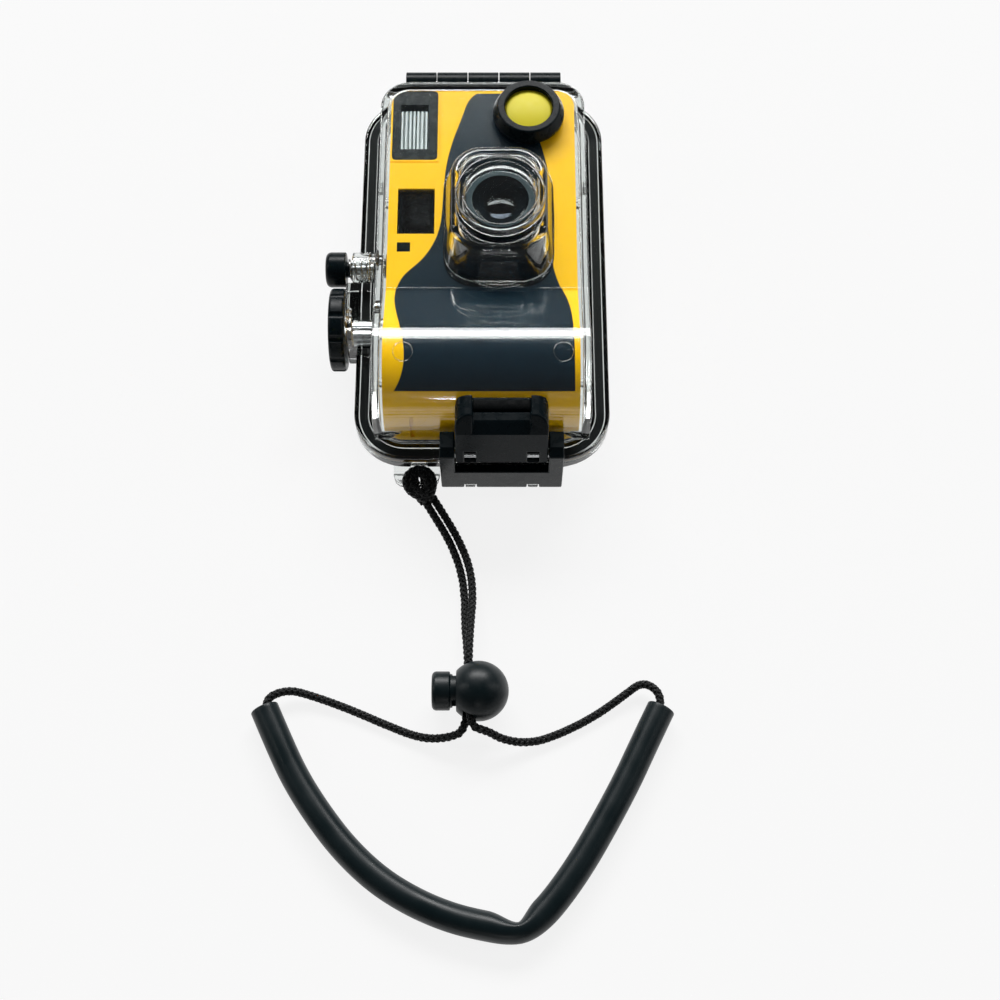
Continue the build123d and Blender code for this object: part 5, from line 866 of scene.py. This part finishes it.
class DIVE_OT_stage(bpy.types.Operator):
    """Set the camera, the floor, the lamps and the sky"""
    bl_idname = "dive.stage"
    bl_label = "Stage"
    # The camera's place in metres, how far it leans back from looking straight down, and its lens
    eye, lean, lens = (0.004988, -0.24007, 0.4124), radians(23), 57.6
    floor_size, floor_drop, floor_white = 4.0, 0.05 * MM, 0.85
    # Each lamp's name, power setting, place and size in metres. All of them look at the aim.
    aim = Vector((0.0, -0.02, 0.03))
    lamps = (("soft_box", "box", (0.0, 1.19, 1.07), (1.6, 0.5)),
             ("low_lamp", "low", (-0.012, -1.35, 0.47), (0.11, 0.03)),
             ("left_strip", "side", (-1.2, 0.1, 0.75), (0.16, 1.0)),
             ("right_strip", "side", (1.2, 0.1, 0.75), (0.16, 1.0)))
    # The sky is this much lighter at the horizon, up to this share of the way to the top
    horizon_share, horizon_end = 1.5, 0.8

    def execute(self, context):
        scene = context.scene
        stage = scene.dive_stage
        camera = bpy.data.cameras.new("camera")
        camera.lens = self.lens
        camera.sensor_width = 36
        holder = bpy.data.objects.new("camera", camera)
        holder.location = self.eye
        holder.rotation_euler = (self.lean, 0, 0)
        scene.collection.objects.link(holder)
        scene.camera = holder
        scene.view_settings.view_transform = "Standard"
        self.floor(scene, stage.floor)
        self.sky(scene, stage.sky)
        for name, power, place, sides in self.lamps:
            light = bpy.data.lights.new(name, "AREA")
            light.shape = "RECTANGLE"
            light.size, light.size_y = sides
            light.energy = getattr(stage, power)
            lamp = bpy.data.objects.new(name, light)
            lamp.location = place
            lamp.rotation_euler = (self.aim - Vector(place)).to_track_quat("-Z", "Y").to_euler()
            scene.collection.objects.link(lamp)
        return {"FINISHED"}

    def floor(self, scene, colour):
        """Pale floor that looks white to the camera and keeps the object's shadow."""
        shape = bmesh.new()
        bmesh.ops.create_grid(shape, x_segments=1, y_segments=1, size=self.floor_size / 2)
        bmesh.ops.translate(shape, verts=shape.verts, vec=(0, 0, -self.floor_drop))
        mesh = bpy.data.meshes.new("floor")
        shape.to_mesh(mesh)
        shape.free()
        # Matt floor paint: faint 40 mm clouds, and mostly plain white where it is seen, mirrored or looked
        # at through the clear plastic
        material, tree, place = start_material("painted_floor")
        clouds = add_node(tree, "ShaderNodeTexNoise", {"Scale": 1 / (40.0 * MM), "Detail": 2.0},
                          {"Vector": place})
        tint = add_node(tree, "ShaderNodeMix", {6: shade(colour, 0.99), 7: shade(colour, 1.01)}, {0: clouds},
                        data_type="RGBA")
        matte = add_node(tree, "ShaderNodeBsdfDiffuse", {"Roughness": 0.5}, {"Color": tint.outputs[2]})
        lit = add_node(tree, "ShaderNodeEmission", {"Color": (1, 1, 1, 1), "Strength": 1.0})
        path = add_node(tree, "ShaderNodeLightPath").outputs
        seen = add_node(tree, "ShaderNodeMath", None, {
            0: path["Is Camera Ray"], 1: path["Is Glossy Ray"]}, operation="MAXIMUM")
        seen = add_node(tree, "ShaderNodeMath", None, {
            0: seen, 1: path["Is Transmission Ray"]}, operation="MAXIMUM")
        share = add_node(tree, "ShaderNodeMath", {1: self.floor_white}, {0: seen}, operation="MULTIPLY")
        mixed = add_node(tree, "ShaderNodeMixShader", None, {0: share, 1: matte, 2: lit})
        add_node(tree, "ShaderNodeOutputMaterial", links={"Surface": mixed})
        mesh.materials.append(material)
        floor = bpy.data.objects.new("floor", mesh)
        scene.collection.objects.link(floor)

    def sky(self, scene, strength):
        """Dim sky that gets a little lighter down to the horizon, and plain white to the camera."""
        world = bpy.data.worlds.new("studio")
        world.use_nodes = True
        tree = world.node_tree
        tree.nodes.clear()
        place = add_node(tree, "ShaderNodeTexCoord").outputs["Generated"]
        height = add_node(tree, "ShaderNodeSeparateXYZ", None, {0: place}).outputs["Z"]
        glow = add_node(tree, "ShaderNodeMapRange", {
            "From Min": 0.0, "From Max": self.horizon_end, "To Min": strength * self.horizon_share,
            "To Max": strength}, {"Value": height}, interpolation_type="SMOOTHSTEP")
        seen = add_node(tree, "ShaderNodeLightPath").outputs["Is Camera Ray"]
        level = add_node(tree, "ShaderNodeMix", {3: 1.0}, {0: seen, 2: glow}, data_type="FLOAT")
        background = add_node(tree, "ShaderNodeBackground", {"Color": (1, 1, 1, 1)}, {"Strength": level})
        add_node(tree, "ShaderNodeOutputWorld", links={"Surface": background})
        scene.world = world


class DIVE_PT_panel(bpy.types.Panel):
    """Lists the pieces and their settings"""
    bl_idname = "DIVE_PT_panel"
    bl_label = "Dive camera"
    bl_space_type = "VIEW_3D"
    bl_region_type = "UI"
    bl_category = "Dive camera"

    def draw(self, context):
        for group in settings():
            box = self.layout.box()
            for name in group.__annotations__:
                box.prop(group, name)
        for operator in OPERATORS:
            self.layout.operator(operator.bl_idname)


GROUPS = {"dive_housing": HousingSettings, "dive_camera": CameraSettings, "dive_lanyard": LanyardSettings,
          "dive_stage": StageSettings}
OPERATORS = (DIVE_OT_stage, DIVE_OT_wrist_tube, DIVE_OT_hitch, DIVE_OT_cord_lock, DIVE_OT_cord,
             DIVE_OT_shells, DIVE_OT_hinge_and_latch, DIVE_OT_controls, DIVE_OT_camera_body, DIVE_OT_windows,
             DIVE_OT_lens, DIVE_OT_works)


def register():
    """Register the settings, the operators and the panel."""
    for name, group in GROUPS.items():
        bpy.utils.register_class(group)
        setattr(bpy.types.Scene, name, PointerProperty(type=group))
    for kind in (*OPERATORS, DIVE_PT_panel):
        bpy.utils.register_class(kind)


def unregister():
    """Take them all out again, in the opposite order."""
    for kind in (DIVE_PT_panel, *reversed(OPERATORS)):
        bpy.utils.unregister_class(kind)
    for name, group in reversed(GROUPS.items()):
        delattr(bpy.types.Scene, name)
        bpy.utils.unregister_class(group)


def main():
    """Register the settings, operators and panel, and make every piece."""
    register()
    for operator in OPERATORS:
        getattr(bpy.ops.dive, operator.bl_idname.split(".")[1])()


if __name__ == "__main__":
    main()
